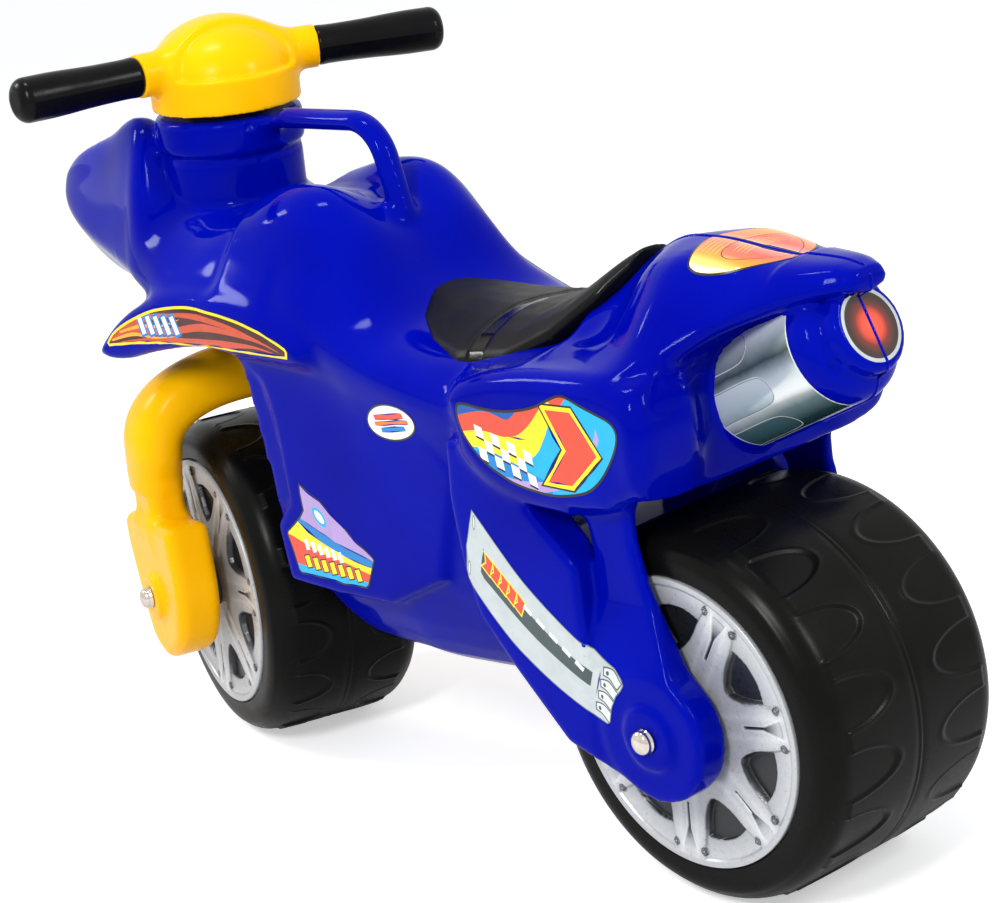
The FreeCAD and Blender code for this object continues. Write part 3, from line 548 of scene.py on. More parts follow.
# body shell: moulded forms blended into one another, then drawn as one skin
bodySet = {
    "cell": 1.8, "low": (-116.0, 60.0), "high": (622.0, 424.0), "half": 104.0,
    "settle": 4, "noseFrom": 484.0, "noseSettle": 11,
    # cross-sections: x, then the left half from top middle to bottom middle as (y, z)
    "tail": [
        (-102, [(0, 340), (6, 340), (10, 338.5), (12, 335.5), (11, 332.5), (8, 331), (4, 330), (0, 330)]),
        (-87, [(0, 343.5), (11, 343), (18, 340), (22, 335), (21.5, 331), (16, 329), (8, 328.5), (0, 328)]),
        (-56, [(0, 345), (18, 344), (29, 339), (36, 331), (38, 325), (34, 320), (17, 320), (0, 320)]),
        (-33, [(0, 347.5), (25, 346.5), (37.5, 337), (45, 325.5), (51, 316), (47, 311), (24, 311), (0, 311)]),
        (-15, [(0, 350), (30, 348), (46, 335), (58, 319), (69, 305), (66, 298), (33, 297), (0, 297)]),
        (0, [(0, 351), (32, 348), (50, 333), (66, 314), (81, 298), (78, 286), (40, 280), (0, 280)]),
        (22, [(0, 350), (29, 342), (46, 326), (64, 306), (83, 290), (83, 264), (60, 240), (0, 236)]),
        (43, [(0, 341), (25, 326), (43, 309), (63, 297), (82, 284), (82, 260), (60, 238), (0, 230)]),
        (69, [(0, 322), (30, 316), (55, 301), (73, 291), (80, 280), (78, 256), (58, 234), (0, 226)])],
    "hull": [
        (-16, [(0, 326), (34, 320), (56, 308), (74, 298), (86, 286), (90, 268), (90, 250),
               (84, 238), (50, 230), (0, 227)]),
        (6, [(0, 338), (32, 332), (52, 318), (70, 300), (82, 284), (82, 263), (78, 248),
             (72, 237), (46, 229), (0, 226)]),
        (56, [(0, 320), (31, 311), (52, 300), (68, 292), (81, 278), (79, 252), (74, 226),
              (69, 188), (46, 158), (0, 150)]),
        (104, [(0, 301), (31, 299), (53, 294), (70, 284), (83, 268), (77, 237), (73, 196),
               (68, 150), (50, 117), (0, 107)]),
        (152, [(0, 297), (31, 295), (55, 291), (73, 284), (84, 269), (77, 237), (73, 196),
               (68, 150), (46, 103), (0, 90)]),
        (200, [(0, 301), (31, 299.5), (54, 297), (73, 291), (85, 279), (77, 246), (72, 203),
               (67, 150), (46, 99), (0, 86)]),
        (224, [(0, 314), (32, 315), (53, 311), (70, 302), (85, 287), (77, 250), (72, 205),
               (67, 150), (46, 98), (0, 86)]),
        (247, [(0, 342), (34, 350), (54, 339), (68, 317), (84.5, 295), (76, 256), (71, 205),
               (67, 150), (44, 98), (0, 86)]),
        (273, [(0, 359), (37, 371), (58, 358), (70, 330), (84, 303), (75, 259), (71, 205),
               (67, 150), (42, 97), (0, 86)]),
        (304, [(0, 363), (38, 374), (61, 361), (72, 334), (83, 306), (75, 263), (70, 205),
               (66, 150), (40, 100), (0, 88)]),
        (336, [(0, 361), (36, 367), (61, 354), (73, 333), (83, 308), (75, 263), (69, 205),
               (63, 158), (37, 117), (0, 107)])],
    "fairing": [
        (300, [(0, 350), (28, 353), (57, 340), (78, 314), (82, 300), (72, 285), (50, 272), (0, 269)]),
        (347, [(0, 354), (30, 356), (60, 345), (80, 320), (86, 304), (78, 288), (54, 273), (0, 268)]),
        (391, [(0, 352), (30, 354), (60, 343), (79, 324), (86, 308), (80, 292), (56, 276), (0, 269)]),
        (425, [(0, 356), (36, 364), (58, 352), (72, 334), (77, 318), (74, 306), (48, 282), (0, 271)]),
        (445, [(0, 380), (40, 400), (57, 376), (68, 340), (71.5, 320), (68, 311), (42, 285), (0, 276)]),
        (462, [(0, 394), (38, 410), (53, 378), (62, 340), (65, 322), (61.5, 315), (36, 289), (0, 280)]),
        (502, [(0, 386), (33, 397), (43, 370), (49, 342), (51, 327), (48, 320), (24, 295), (0, 288)]),
        (556, [(0, 373), (24, 382), (29, 363), (32.5, 345), (34, 334.5), (31, 328), (14, 304), (0, 296)]),
        (591, [(0, 363), (14, 367), (17.5, 357), (19.5, 348), (19.5, 341), (17, 335), (7, 318), (0, 313)]),
        (610, [(0, 355), (5, 356), (7.5, 353), (8.5, 349), (8, 345), (6, 341), (3, 338), (0, 337)])],
    "wing": [(471, 270.7), (458, 283), (440, 294.5), (420, 303.6), (391, 311.5), (347, 314.5), (304, 309),
             (275, 300),
             (258, 290), (262, 281), (300, 280.5), (356, 282.8), (408, 275), (445, 266.4), (462, 265.5)],
    "cover": [(124, 283), (87, 295), (40, 299), (2, 298), (-18, 290), (-25, 272), (-22, 250),
              (-10, 236.5), (10, 228),
              (43, 223.6), (87, 227.5), (114, 241), (124, 262)],
    "panel": [(338, 276), (319, 263), (314, 237), (312.5, 188), (328, 171), (323.5, 135.4), (278, 133.5),
              (226, 135.4),
              (174, 158), (150, 226), (217, 284), (282, 292)],
    "arm": [(134.5, 252), (138, 218), (134.5, 180.5), (126.7, 151.2), (99.8, 122.2), (66, 88.7), (18, 73.8),
            (0, 69.2), (-18, 73.8), (-31.5, 87.6), (-36, 105), (-32.6, 120.2), (-16.5, 140), (3.5, 183),
            (8.7, 207), (7.8, 230), (8.7, 252)],
    "window": [(42, 223.7), (77, 223.7), (39.5, 192)],
    # inner side, outer side and edge radius of each plate
    "plates": {"cover": (50, 96, 11), "wing": (56, 91, 6), "panel": (40, 76, 4), "arm": (72, 92, 3.5)},
    "blends": {"tail": 6, "fairing": 14, "wing": 12, "cover": 15, "panel": 4, "arm": 7, "barrel": 2.5, "neck": 5,
               "handle": 9, "well": 6},
    "dimples": [(19.3, 35.8, 347.5), (-93.0, 22.5, 297.0), (372.0, 15.9, 402.9)],
    "dimpleDepth": 1.7, "dimpleRadius": 2.7, "lampStep": 1.5, "lampStepX": -59.0, "lampStepFrom": 325}
wellSet = {"wheelRadius": 125, "wheelSide": 72, "steerRadius": 118, "steerTop": 266, "steerBlend": 3}
armSet = {"edge": 3, "strutSide": 80, "strutX": 41, "strutTop": 231, "stepTop": 173, "stepRun": 38, "stepDeep": 12,
          "eye": {"radius": 36, "middle": 82, "half": 10, "blend": 2},
          "boss": {"radius": 17.5, "middle": 83.5, "half": 11.4, "blend": 2.5}, "axleBore": 5.2}
barrelSet = {"tilt": 24.0, "faceX": -99.0, "faceZ": 312.0, "radius": 33.0, "from": 25.5, "to": 96.0,
             "top": 8.0, "foot": 96.0, "filmLift": 0.3, "glow": 19.4, "glowEdge": 2.0,
             "profile": [(0, 0), (21, 0), (23.2, -1.2), (24, -3), (24, -9.5), (27.5, -11.5), (31, -15),
                         (32.7, -19.5),
                         (33, -23), (33, -125), (0, -125)]}
neckSet = {"x": 434.0, "collarTop": 409.0, "collarLow": 388.0, "collar": 46.0, "neck": 43.5, "foot": 268.0,
           "bore": 22.4, "boreBelow": 30, "clearAbove": 60}
handleSet = {"startX": 395.0, "height": 404.5, "bendX": 291.0, "bend": 28.0, "turn": 75, "leg": 34.0,
             "thick": 6.3, "flat": 0.76}


def throughPoints(places, table, spot):
    # smooth values between the stations
    k = min(max(int(np.searchsorted(places, spot)) - 1, 0), len(places) - 2)
    span = places[k + 1] - places[k]
    t = (spot - places[k]) / span
    before, after = max(k - 1, 0), min(k + 2, len(places) - 1)
    first = (table[k + 1] - table[before]) / (places[k + 1] - places[before]) * span
    second = (table[after] - table[k]) / (places[after] - places[k]) * span
    return ((2 * t ** 3 - 3 * t ** 2 + 1) * table[k] + (t ** 3 - 2 * t ** 2 + t) * first
            + (3 * t ** 2 - 2 * t ** 3) * table[k + 1] + (t ** 3 - t ** 2) * second)


def smoothRing(points, steps=4):
    # a closed smooth line through the points
    points = np.asarray(points, float)
    made = []
    p0, p1, p2, p3 = np.roll(points, 1, 0), points, np.roll(points, -1, 0), np.roll(points, -2, 0)
    for step in range(steps):
        t = step / steps
        made.append(0.5 * (2 * p1 + (p2 - p0) * t + (2 * p0 - 5 * p1 + 4 * p2 - p3) * t * t
                           + (3 * p1 - p0 - 3 * p2 + p3) * t ** 3))
    return np.stack(made, 1).reshape(-1, 2)


def outlineDistance(ring, u, v):
    # distance from a closed outline, below zero inside it
    ring = np.asarray(ring, np.float32)
    best = np.full(u.shape, 1e9, np.float32)
    odd = np.zeros(u.shape, bool)
    for a, b in zip(ring, np.roll(ring, -1, 0)):
        edge = b - a
        length = float(edge @ edge)
        if length < 1e-9:
            continue
        du, dv = u - a[0], v - a[1]
        t = np.clip((du * edge[0] + dv * edge[1]) / length, 0, 1)
        best = np.minimum(best, (du - t * edge[0]) ** 2 + (dv - t * edge[1]) ** 2)
        if abs(edge[1]) > 1e-9:
            odd ^= ((a[1] > v) != (b[1] > v)) & (du < edge[0] * dv / edge[1])
    return np.where(odd, -1, 1).astype(np.float32) * np.sqrt(best)


def joined(first, second, blend):
    # two forms run into each other with a fillet
    near = np.maximum(blend - np.abs(first - second), 0) / blend
    return np.minimum(first, second) - near * near * blend / 4


def carved(first, second, blend):
    # the second form cut away from the first, with a fillet
    return -joined(-first, second, blend)


def creased(half, spots):
    # two more points close to a corner keep it crisp
    made = []
    for k, p in enumerate(half):
        if k in spots:
            before, after = half[k - 1] - p, half[k + 1] - p
            made.append(p + before * min(0.45, 2.0 / max(np.linalg.norm(before), 1e-6)))
            made.append(p)
            made.append(p + after * min(0.45, 2.0 / max(np.linalg.norm(after), 1e-6)))
        else:
            made.append(p)
    return np.array(made)


def loftField(stations, xs, y, z, crisp=()):
    # distance from a form drawn through cross-sections, with the corners numbered in crisp kept sharp
    places = np.array([x for x, half in stations], float)
    table = np.array([half for x, half in stations], float)
    field = np.full((len(xs), *y.shape), 80, np.float32)
    for index, x in enumerate(xs):
        over = max(places[0] - x, x - places[-1], 0)
        if over > 24:
            continue
        half = creased(throughPoints(places, table, min(max(x, places[0]), places[-1])), crisp)
        ring = smoothRing(np.concatenate([half, (half * (-1, 1))[-2:0:-1]]))
        flat = outlineDistance(ring, y, z)
        field[index] = flat if over == 0 else np.hypot(np.maximum(flat, 0), over)
        if over == 0:
            # the ends are closed by flat faces
            field[index] = np.maximum(flat, max(places[0] - x, x - places[-1]))
    return field


def plateField(outline, xs, ys, zs, low, high, edge, smooth=True):
    # distance from a side outline made solid from low to high across, with rounded edges
    x, z = np.meshgrid(xs, zs, indexing="ij")
    ring = smoothRing(outline) if smooth else outline
    flat = outlineDistance(ring, x.astype(np.float32), z.astype(np.float32))[:, None, :] + edge
    deep = (np.abs(ys - (low + high) / 2) - (high - low) / 2 + edge)[None, :, None]
    inside = np.minimum(np.maximum(flat, deep), 0)
    return (inside + np.hypot(np.maximum(flat, 0), np.maximum(deep, 0)) - edge).astype(np.float32)


def netOf(field, low, cell):
    # one point in each cell that the surface crosses, and a face across each crossed grid line
    inside = field < 0
    crossed = np.zeros(tuple(n - 1 for n in field.shape), bool)
    corners = [(i, j, k) for i in (0, 1) for j in (0, 1) for k in (0, 1)]
    cut = [slice(0, -1), slice(1, None)]
    base = inside[:-1, :-1, :-1]
    for i, j, k in corners[1:]:
        crossed |= inside[cut[i], cut[j], cut[k]] != base
    cells = np.argwhere(crossed)
    number = np.full(crossed.shape, -1, np.int64)
    number[crossed] = np.arange(len(cells))
    total = np.zeros((len(cells), 3))
    count = np.zeros(len(cells))
    for a in corners:
        for axis in range(3):
            if a[axis]:
                continue
            b = list(a)
            b[axis] = 1
            va = field[tuple((cells + a).T)].astype(float)
            vb = field[tuple((cells + b).T)].astype(float)
            hit = (va < 0) != (vb < 0)
            t = np.where(hit, va / np.where(hit, va - vb, 1), 0)
            spot = cells + np.array(a, float)
            spot[:, axis] += t
            total[hit] += spot[hit]
            count[hit] += 1
    points = np.array(low) + total / count[:, None] * cell
    faces = []
    for axis in range(3):
        u, v = [(1, 2), (2, 0), (0, 1)][axis]
        near = [slice(None)] * 3
        far = [slice(None)] * 3
        near[axis], far[axis] = slice(0, -1), slice(1, None)
        change = inside[tuple(near)] != inside[tuple(far)]
        change = np.argwhere(change)
        change = change[(change[:, u] > 0) & (change[:, v] > 0)
                        & (change[:, u] < field.shape[u] - 1) & (change[:, v] < field.shape[v] - 1)]
        out = inside[tuple(change.T)]
        quad = []
        for du, dv in ((1, 1), (0, 1), (0, 0), (1, 0)):
            spot = change.copy()
            spot[:, u] -= du
            spot[:, v] -= dv
            quad.append(number[tuple(spot.T)])
        quad = np.stack(quad, 1)
        quad[~out] = quad[~out][:, ::-1]
        faces.append(quad)
    return points, np.concatenate(faces)


def bodyField(xs, ys, zs):
    # distance from the whole left half of the shell
    blends = bodySet["blends"]
    y, z = np.meshgrid(ys.astype(np.float32), zs.astype(np.float32), indexing="ij")
    field = loftField(bodySet["hull"], xs, y, z)
    for part, crisp in (("tail", (4, 5)), ("fairing", (4,))):
        field = joined(field, loftField(bodySet[part], xs, y, z, crisp), blends[part])
    print("body sections laid")
    for part in ("cover", "wing", "panel"):
        plate = plateField(bodySet[part], xs, ys, zs, *bodySet["plates"][part], part != "panel")
        field = joined(field, plate, blends[part])
    across = xs.astype(np.float32)[:, None, None]
    side = ys.astype(np.float32)[None, :, None]
    tall = zs.astype(np.float32)[None, None, :]
    plane = np.meshgrid(xs.astype(np.float32), zs.astype(np.float32), indexing="ij")
    # room for the rear wheel, for the steered wheel and for the steering stem
    well = np.maximum(np.hypot(across, tall - wheelRadius) - wellSet["wheelRadius"], side - wellSet["wheelSide"])
    field = carved(field, well, blends["well"])
    well = np.maximum(np.hypot(across - neckSet["x"], side) - wellSet["steerRadius"], tall - wellSet["steerTop"])
    field = carved(field, well, wellSet["steerBlend"])
    # swing arms with their window, the thinner strut behind it and the axle boss
    arm = plateField(bodySet["arm"], xs, ys, zs, *bodySet["plates"]["arm"], False)
    step = np.clip((armSet["stepTop"] - tall) / armSet["stepRun"], 0, 1) * armSet["stepDeep"]
    strut = np.maximum(armSet["strutSide"] + step - side, across - armSet["strutX"])
    arm = carved(arm, np.maximum(strut, tall - armSet["strutTop"]), armSet["edge"])
    window = outlineDistance(bodySet["window"], *plane)
    arm = carved(arm, window[:, None, :] + 0 * side, armSet["edge"])
    fromEye = np.hypot(across, tall - wheelRadius)
    for ring in (armSet["eye"], armSet["boss"]):
        eye = np.maximum(fromEye - ring["radius"], np.abs(side - ring["middle"]) - ring["half"])
        arm = joined(arm, eye, ring["blend"])
    field = joined(field, arm, blends["arm"])
    # barrel under the tail
    tilt = math.radians(barrelSet["tilt"])
    dx, dz = across - barrelSet["faceX"], tall - barrelSet["faceZ"]
    along = -dx * math.cos(tilt) + dz * math.sin(tilt)
    off = dx * math.sin(tilt) + dz * math.cos(tilt)
    reach = np.hypot(off, side)
    barrel = outlineDistance(barrelSet["profile"], reach.astype(np.float32),
    (along + 0 * side).astype(np.float32))
    field = joined(field, barrel, blends["barrel"])
    # headstock neck and its collar, leaning with the steering
    lean = math.radians(steerSet["rake"])
    px, pz = across - (frontMiddle - origin).x / mm, tall - (frontMiddle - origin).z / mm
    up = -px * math.sin(lean) + pz * math.cos(lean)
    far = np.hypot(px * math.cos(lean) + pz * math.sin(lean), side)
    foot, low, top = (alongAxis(neckSet[key]) for key in ("foot", "collarLow", "collarTop"))
    thin, wide = neckSet["neck"], neckSet["collar"]
    neck = [(0, foot), (thin, foot), (thin, low - 5), (thin - 1.6, low - 3), (thin - 1.2, low - 1),
            (wide - 0.5, low - 0.2), (wide, low + 1.5), (wide, top - 2), (wide - 0.6, top - 0.6), (wide - 2, top),
            (0, top)]
    neck = outlineDistance(neck, far.astype(np.float32), (up + 0 * side).astype(np.float32))
    field = joined(field, neck, blends["neck"])
    field = joined(field, handleField(plane, side), blends["handle"])
    # bores for the stem and the axle, and a flat top on the collar
    bore = np.maximum(far - neckSet["bore"], foot - neckSet["boreBelow"] - up)
    field = np.maximum(field, -bore)
    field = np.maximum(field, -np.maximum(top - up, far - neckSet["clearAbove"]))
    return np.maximum(field, -(fromEye - armSet["axleBore"]) + 0 * side)


def handleField(plane, side):
    # carry handle, flatter than it is wide, round a line that bends down at the back
    h = handleSet
    turn = math.radians(h["turn"])
    line = [(h["startX"], h["height"]), (h["bendX"], h["height"])]
    for index in range(1, 13):
        part = turn * index / 12
        line.append((h["bendX"] - h["bend"] * math.sin(part), h["height"] - h["bend"] * (1 - math.cos(part))))
    line.append((line[-1][0] - h["leg"] * math.cos(turn), line[-1][1] - h["leg"] * math.sin(turn)))
    x, z = plane
    best = np.full(x.shape, 1e9, np.float32)
    for a, b in zip(line, line[1:]):
        ex, ez = b[0] - a[0], b[1] - a[1]
        t = np.clip(((x - a[0]) * ex + (z - a[1]) * ez) / (ex * ex + ez * ez), 0, 1)
        best = np.minimum(best, (x - a[0] - t * ex) ** 2 + (z - a[1] - t * ez) ** 2)
    return np.sqrt(best[:, None, :] + (side * h["flat"]) ** 2) - h["thick"]


def makeBody():
    cell = bodySet["cell"] * 1
    xs = np.arange(bodySet["low"][0], bodySet["high"][0], cell)
    zs = np.arange(bodySet["low"][1], bodySet["high"][1], cell)
    ys = np.arange(cell / 2, bodySet["half"], cell)
    half = bodyField(xs, ys, zs)
    field = np.concatenate([half[:, ::-1, :], half], 1)
    points, faces = netOf(field, (xs[0], -ys[-1], zs[0]), cell)
    mesh = bpy.data.meshes.new("bodySkin")
    mesh.from_pydata((fromPlain(points)).tolist(), [], faces.tolist())
    rounds = np.full(len(points), float(bodySet["settle"]))
    rounds[points[:, 0] > bodySet["noseFrom"]] = bodySet["noseSettle"]
    relax(mesh, rounds)
    dimples = [(x, side * y, z) for x, y, z in bodySet["dimples"] for side in (1, -1)]
    refineNear(mesh, dimples, 8, 2)
    points, normals = backToPlain(mesh), normalsOf(mesh)
    radius = bodySet["dimpleRadius"]
    for spot in dimples:
        far = np.linalg.norm(points - np.array(spot), axis=1)
        dish = -np.exp(-(far / radius) ** 2) + 0.22 * np.exp(-((far - 1.7 * radius) / (0.5 * radius)) ** 2)
        points += normals * (dish * bodySet["dimpleDepth"])[:, None]
    # the lamp's field on the tail lies a little lower than the tip behind it
    behind = np.clip((bodySet["lampStepX"] - points[:, 0]) / 2.5, 0, 1)
    behind = behind * np.clip((normals[:, 2] - 0.4) / 0.4, 0, 1)
    points[:, 2] += behind * (points[:, 2] > bodySet["lampStepFrom"]) * bodySet["lampStep"]
    setPoints(mesh, fromPlain(points))
    smoothFaces(mesh)
    return addPiece("bodySkin", mesh, "frame", bluePlastic, ["body_shell"])


bodySkin = makeBody()
bodyTree = BVHTree.FromPolygons([v.co for v in bodySkin.data.vertices], [p.vertices for p in bodySkin.data.polygons])
print("body shell skinned", len(bodySkin.data.vertices))


# fork and console
def drawnSteered(name, half, xs, ys, zs, settle, node):
    # one half's field, mirrored and drawn as a skin in the steered frame
    field = np.concatenate([half[:, ::-1, :], half], 1).astype(np.float32)
    points, faces = netOf(field, (xs[0], -ys[-1], zs[0]), xs[1] - xs[0])
    mesh = bpy.data.meshes.new(name)
    mesh.from_pydata(fromSteer(points).tolist(), [], faces.tolist())
    relax(mesh, np.full(len(points), float(settle)))
    smoothFaces(mesh)
    return addPiece(name, mesh, "steering", yellowPlastic, [node])


def makeFork():
    facts = forkSet
    cell = facts["cell"] * 1
    xs = np.arange(*facts["x"], cell)
    ys = np.arange(cell / 2, facts["y"], cell)
    zs = np.arange(facts["foot"], facts["stemTop"] + 4, cell)
    # the arch's middle line, as seen from the front, up to the middle
    turns = np.linspace(0, math.pi / 2, 220)
    start, rise = facts["archStart"], facts["archTop"] - facts["archStart"]
    arc = np.stack([facts["archHalf"] * np.cos(turns).clip(0) ** 0.8, start + rise * np.sin(turns) ** 0.8], 1)
    straight = np.linspace(40, start, 90, endpoint=False)
    line = np.concatenate([np.stack([np.full(90, facts["archHalf"]), straight], 1), arc])
    y2, z2 = np.meshgrid(ys, zs, indexing="ij")
    best = np.full(y2.shape, 1e9)
    height = np.zeros(y2.shape)
    for spot in line:
        far = (y2 - spot[0]) ** 2 + (z2 - spot[1]) ** 2
        closer = far < best
        best = np.where(closer, far, best)
        height = np.where(closer, spot[1], height)
    sizes = np.array(facts["tube"])
    middle, deep, wide = (np.interp(height, sizes[:, 0], sizes[:, k])[None] for k in (1, 2, 3))
    x = xs[:, None, None]
    y, z = y2[None], z2[None]
    bend = facts["roundness"]
    ring = ((np.abs(x - middle) / deep) ** bend + (np.sqrt(best)[None] / wide) ** bend) ** (1 / bend)
    tube = carved((ring - 1) * np.minimum(deep, wide), z - facts["sleeve"] + 0 * x, 1.6)
    leg = plateField(facts["leg"], xs, ys, zs, *facts["legPlate"])
    leg = joined(leg, plateField(facts["blade"], xs, ys, zs, *facts["bladePlate"], False), 9)
    reach = np.hypot(x, z)
    boss = facts["boss"]
    leg = joined(leg, np.maximum(reach - boss["radius"], np.abs(y - boss["middle"]) - boss["half"]), 3)
    field = joined(leg, tube, 1.2)
    off = np.hypot(x, y)
    for rod, top, blend in ((facts["collar"], facts["shoulder"], 5), (facts["stem"], facts["stemTop"], 0.4)):
        foot = rod["foot"]
        field = joined(field, np.maximum(off - rod["radius"], np.abs(z - (foot + top) / 2) - (top - foot) / 2), blend)
    # bores for the axle, for the bolt's head and for the bolt
    field = np.maximum(field, -(reach - facts["axleBore"]))
    field = np.maximum(field, -np.maximum(off - facts["boltHead"]["radius"], z - facts["boltHead"]["top"]))
    field = np.maximum(field, -(off - facts["boltBore"]))
    return drawnSteered("forkSkin", field, xs, ys, zs, facts["settle"], "fork")


def makeConsole():
    facts = consoleSet
    cell = facts["cell"] * 1
    xs = np.arange(-facts["x"], facts["x"], cell)
    ys = np.arange(cell / 2, facts["y"], cell)
    ws = np.arange(*facts["z"], cell)
    x = xs[:, None, None]
    y, w = (part[None] for part in np.meshgrid(ys, ws, indexing="ij"))
    off = np.hypot(x, y)
    low, wall, tall = facts["base"], facts["wall"], facts["rise"]
    turns = np.linspace(0, math.pi / 2, 40)
    profile = [(0, low), (facts["radius"], low)]
    profile += [(facts["radius"] * math.cos(t), wall + (tall - wall) * math.sin(t)) for t in turns]
    dome = outlineDistance(profile, off.astype(np.float32), (w + 0 * x).astype(np.float32))
    # the rider's side is pressed in, between a brow above and a ledge below
    lean = math.radians(facts["browLean"])
    brow = -x * math.cos(lean) + w * math.sin(lean) - facts["brow"]
    press = np.maximum(np.maximum(-(dome + facts["press"]), -brow), -(w - facts["ledge"]))
    dome = carved(dome, press, 1.8)
    sweep = math.radians(gripSet["sweep"])
    along = -x * math.sin(sweep) + y * math.cos(sweep)
    side = np.hypot(x * math.cos(sweep) + y * math.sin(sweep), w)
    flare = facts["stubFlare"] * np.clip((facts["flareEnd"] - along) / facts["flareRun"], 0, 1)
    stub = np.maximum(side - facts["stub"] - flare, along - gripSet["start"] + 0.1)
    field = joined(dome, stub, facts["blend"])
    field = joined(field, np.maximum(side - facts["spigot"]["radius"], along - facts["spigot"]["end"]), 0.4)
    # socket for the stem and bore for the bolt
    top = facts["socket"] - barMiddle
    field = np.maximum(field, -np.maximum(off - facts["socketRadius"], w - top))
    field = np.maximum(field, -np.maximum(off - facts["boltBore"], w - facts["boltEnd"]))
    zs = ws + barMiddle
    return drawnSteered("consoleSkin", field, xs, ys, zs, facts["settle"], "handlebar_console")


makeFork()
makeConsole()
print("fork and console skinned")

# seat
seatSet = {"cell": 1.1, "rounds": 10, "bandX": (134.0, 148.0), "bandSharp": (2.2, 4.5), "bandBow": 0.0022,
           "bandDepth": 0.7, "beadAt": 0.8, "beadWidth": 1.1, "beadHeight": 0.45, "rollPolish": 0.75}


def makeSeat():
    mesh = remeshed("seat_pad", "seatSkin", seatSet["cell"])
    relax(mesh, np.full(len(mesh.vertices), float(seatSet["rounds"])))
    points, normals = backToPlain(mesh), normalsOf(mesh)
    bow = seatSet["bandBow"] * points[:, 1] ** 2
    start, stop = seatSet["bandX"]
    place = points[:, 0] + bow
    rise, fall = seatSet["bandSharp"]
    band = 1 / (1 + np.exp(-(place - start) * rise)) - 1 / (1 + np.exp(-(place - stop) * fall))
    up = np.clip(normals[:, 2], 0, 1)
    points += normals * (-band * seatSet["bandDepth"] * up)[:, None]
    # a rounded bead just in front of the band
    bead = np.exp(-((place - stop - seatSet["beadAt"]) / seatSet["beadWidth"]) ** 2) * seatSet["beadHeight"] * up
    points += normals * bead[:, None]
    setPoints(mesh, fromPlain(points))
    roll = 1 - np.clip((normals[:, 2] - 0.35) / 0.25, 0, 1)
    setShare(mesh, "polish", np.clip(band + seatSet["rollPolish"] * roll, 0, 1))
    smoothFaces(mesh)
    return addPiece("seatSkin", mesh, "frame", seatPlastic, ["seat_pad"])


makeSeat()
print("seat skinned")

# wheels
wheelHalf = {"rear": 67.5, "front": 51.0}      # half widths
tyreSet = {"steps": 1020, "shoulder": 16.0, "leaves": 17, "leafHalf": 13.4, "leafTurn": 167.2, "leafEnd": 18.5,
           "treadLift": 1.0, "edgeSoft": 0.9, "seamWidth": 0.9, "seamLift": 0.6, "bead": 0.35, "rimSeat": 81.4,
           "crown": 0.7}


def wheelPlace(body):
    # a wheel's own frame: its middle, with the axle along Y
    if body == "rear_wheel":
        return Matrix.Translation((axleLow + axleHigh) / 2)
    return steerTurn


def spun(r, y, turn, place):
    # points on circles about the place's own Y
    points = np.stack([r * np.cos(turn), y, r * np.sin(turn)], 2).reshape(-1, 3) * mm
    grid = np.array(place)
    return points @ grid[:3, :3].T + grid[:3, 3]


def tyreProfile(half, shoulder):
    # (y, r) from the left bead over the tread to the right bead
    top = wheelRadius - tyreSet["treadLift"]
    side = [(half - 5.6, 11.5), (half - 5.6, tyreSet["rimSeat"] - 0.2), (half - 0.8, tyreSet["rimSeat"]),
            (half - 0.1, tyreSet["rimSeat"] + 0.8)]
    for share in (0.15, 0.4, 0.7):
        side.append((half, tyreSet["rimSeat"] + 0.8 + (top - shoulder - tyreSet["rimSeat"] - 0.8) * share))
    for index in range(0, 15):
        angle = math.pi / 2 * index / 14
        side.append((half - shoulder + shoulder * math.cos(angle), top - shoulder + shoulder * math.sin(angle)))
    tread = half - shoulder
    count = int(tread / 0.8)
    middle = [(tread * (1 - index / count), top) for index in range(1, count)]
    left = side + middle
    return left + [(0.0, top)] + [(-y, r) for y, r in reversed(left)]


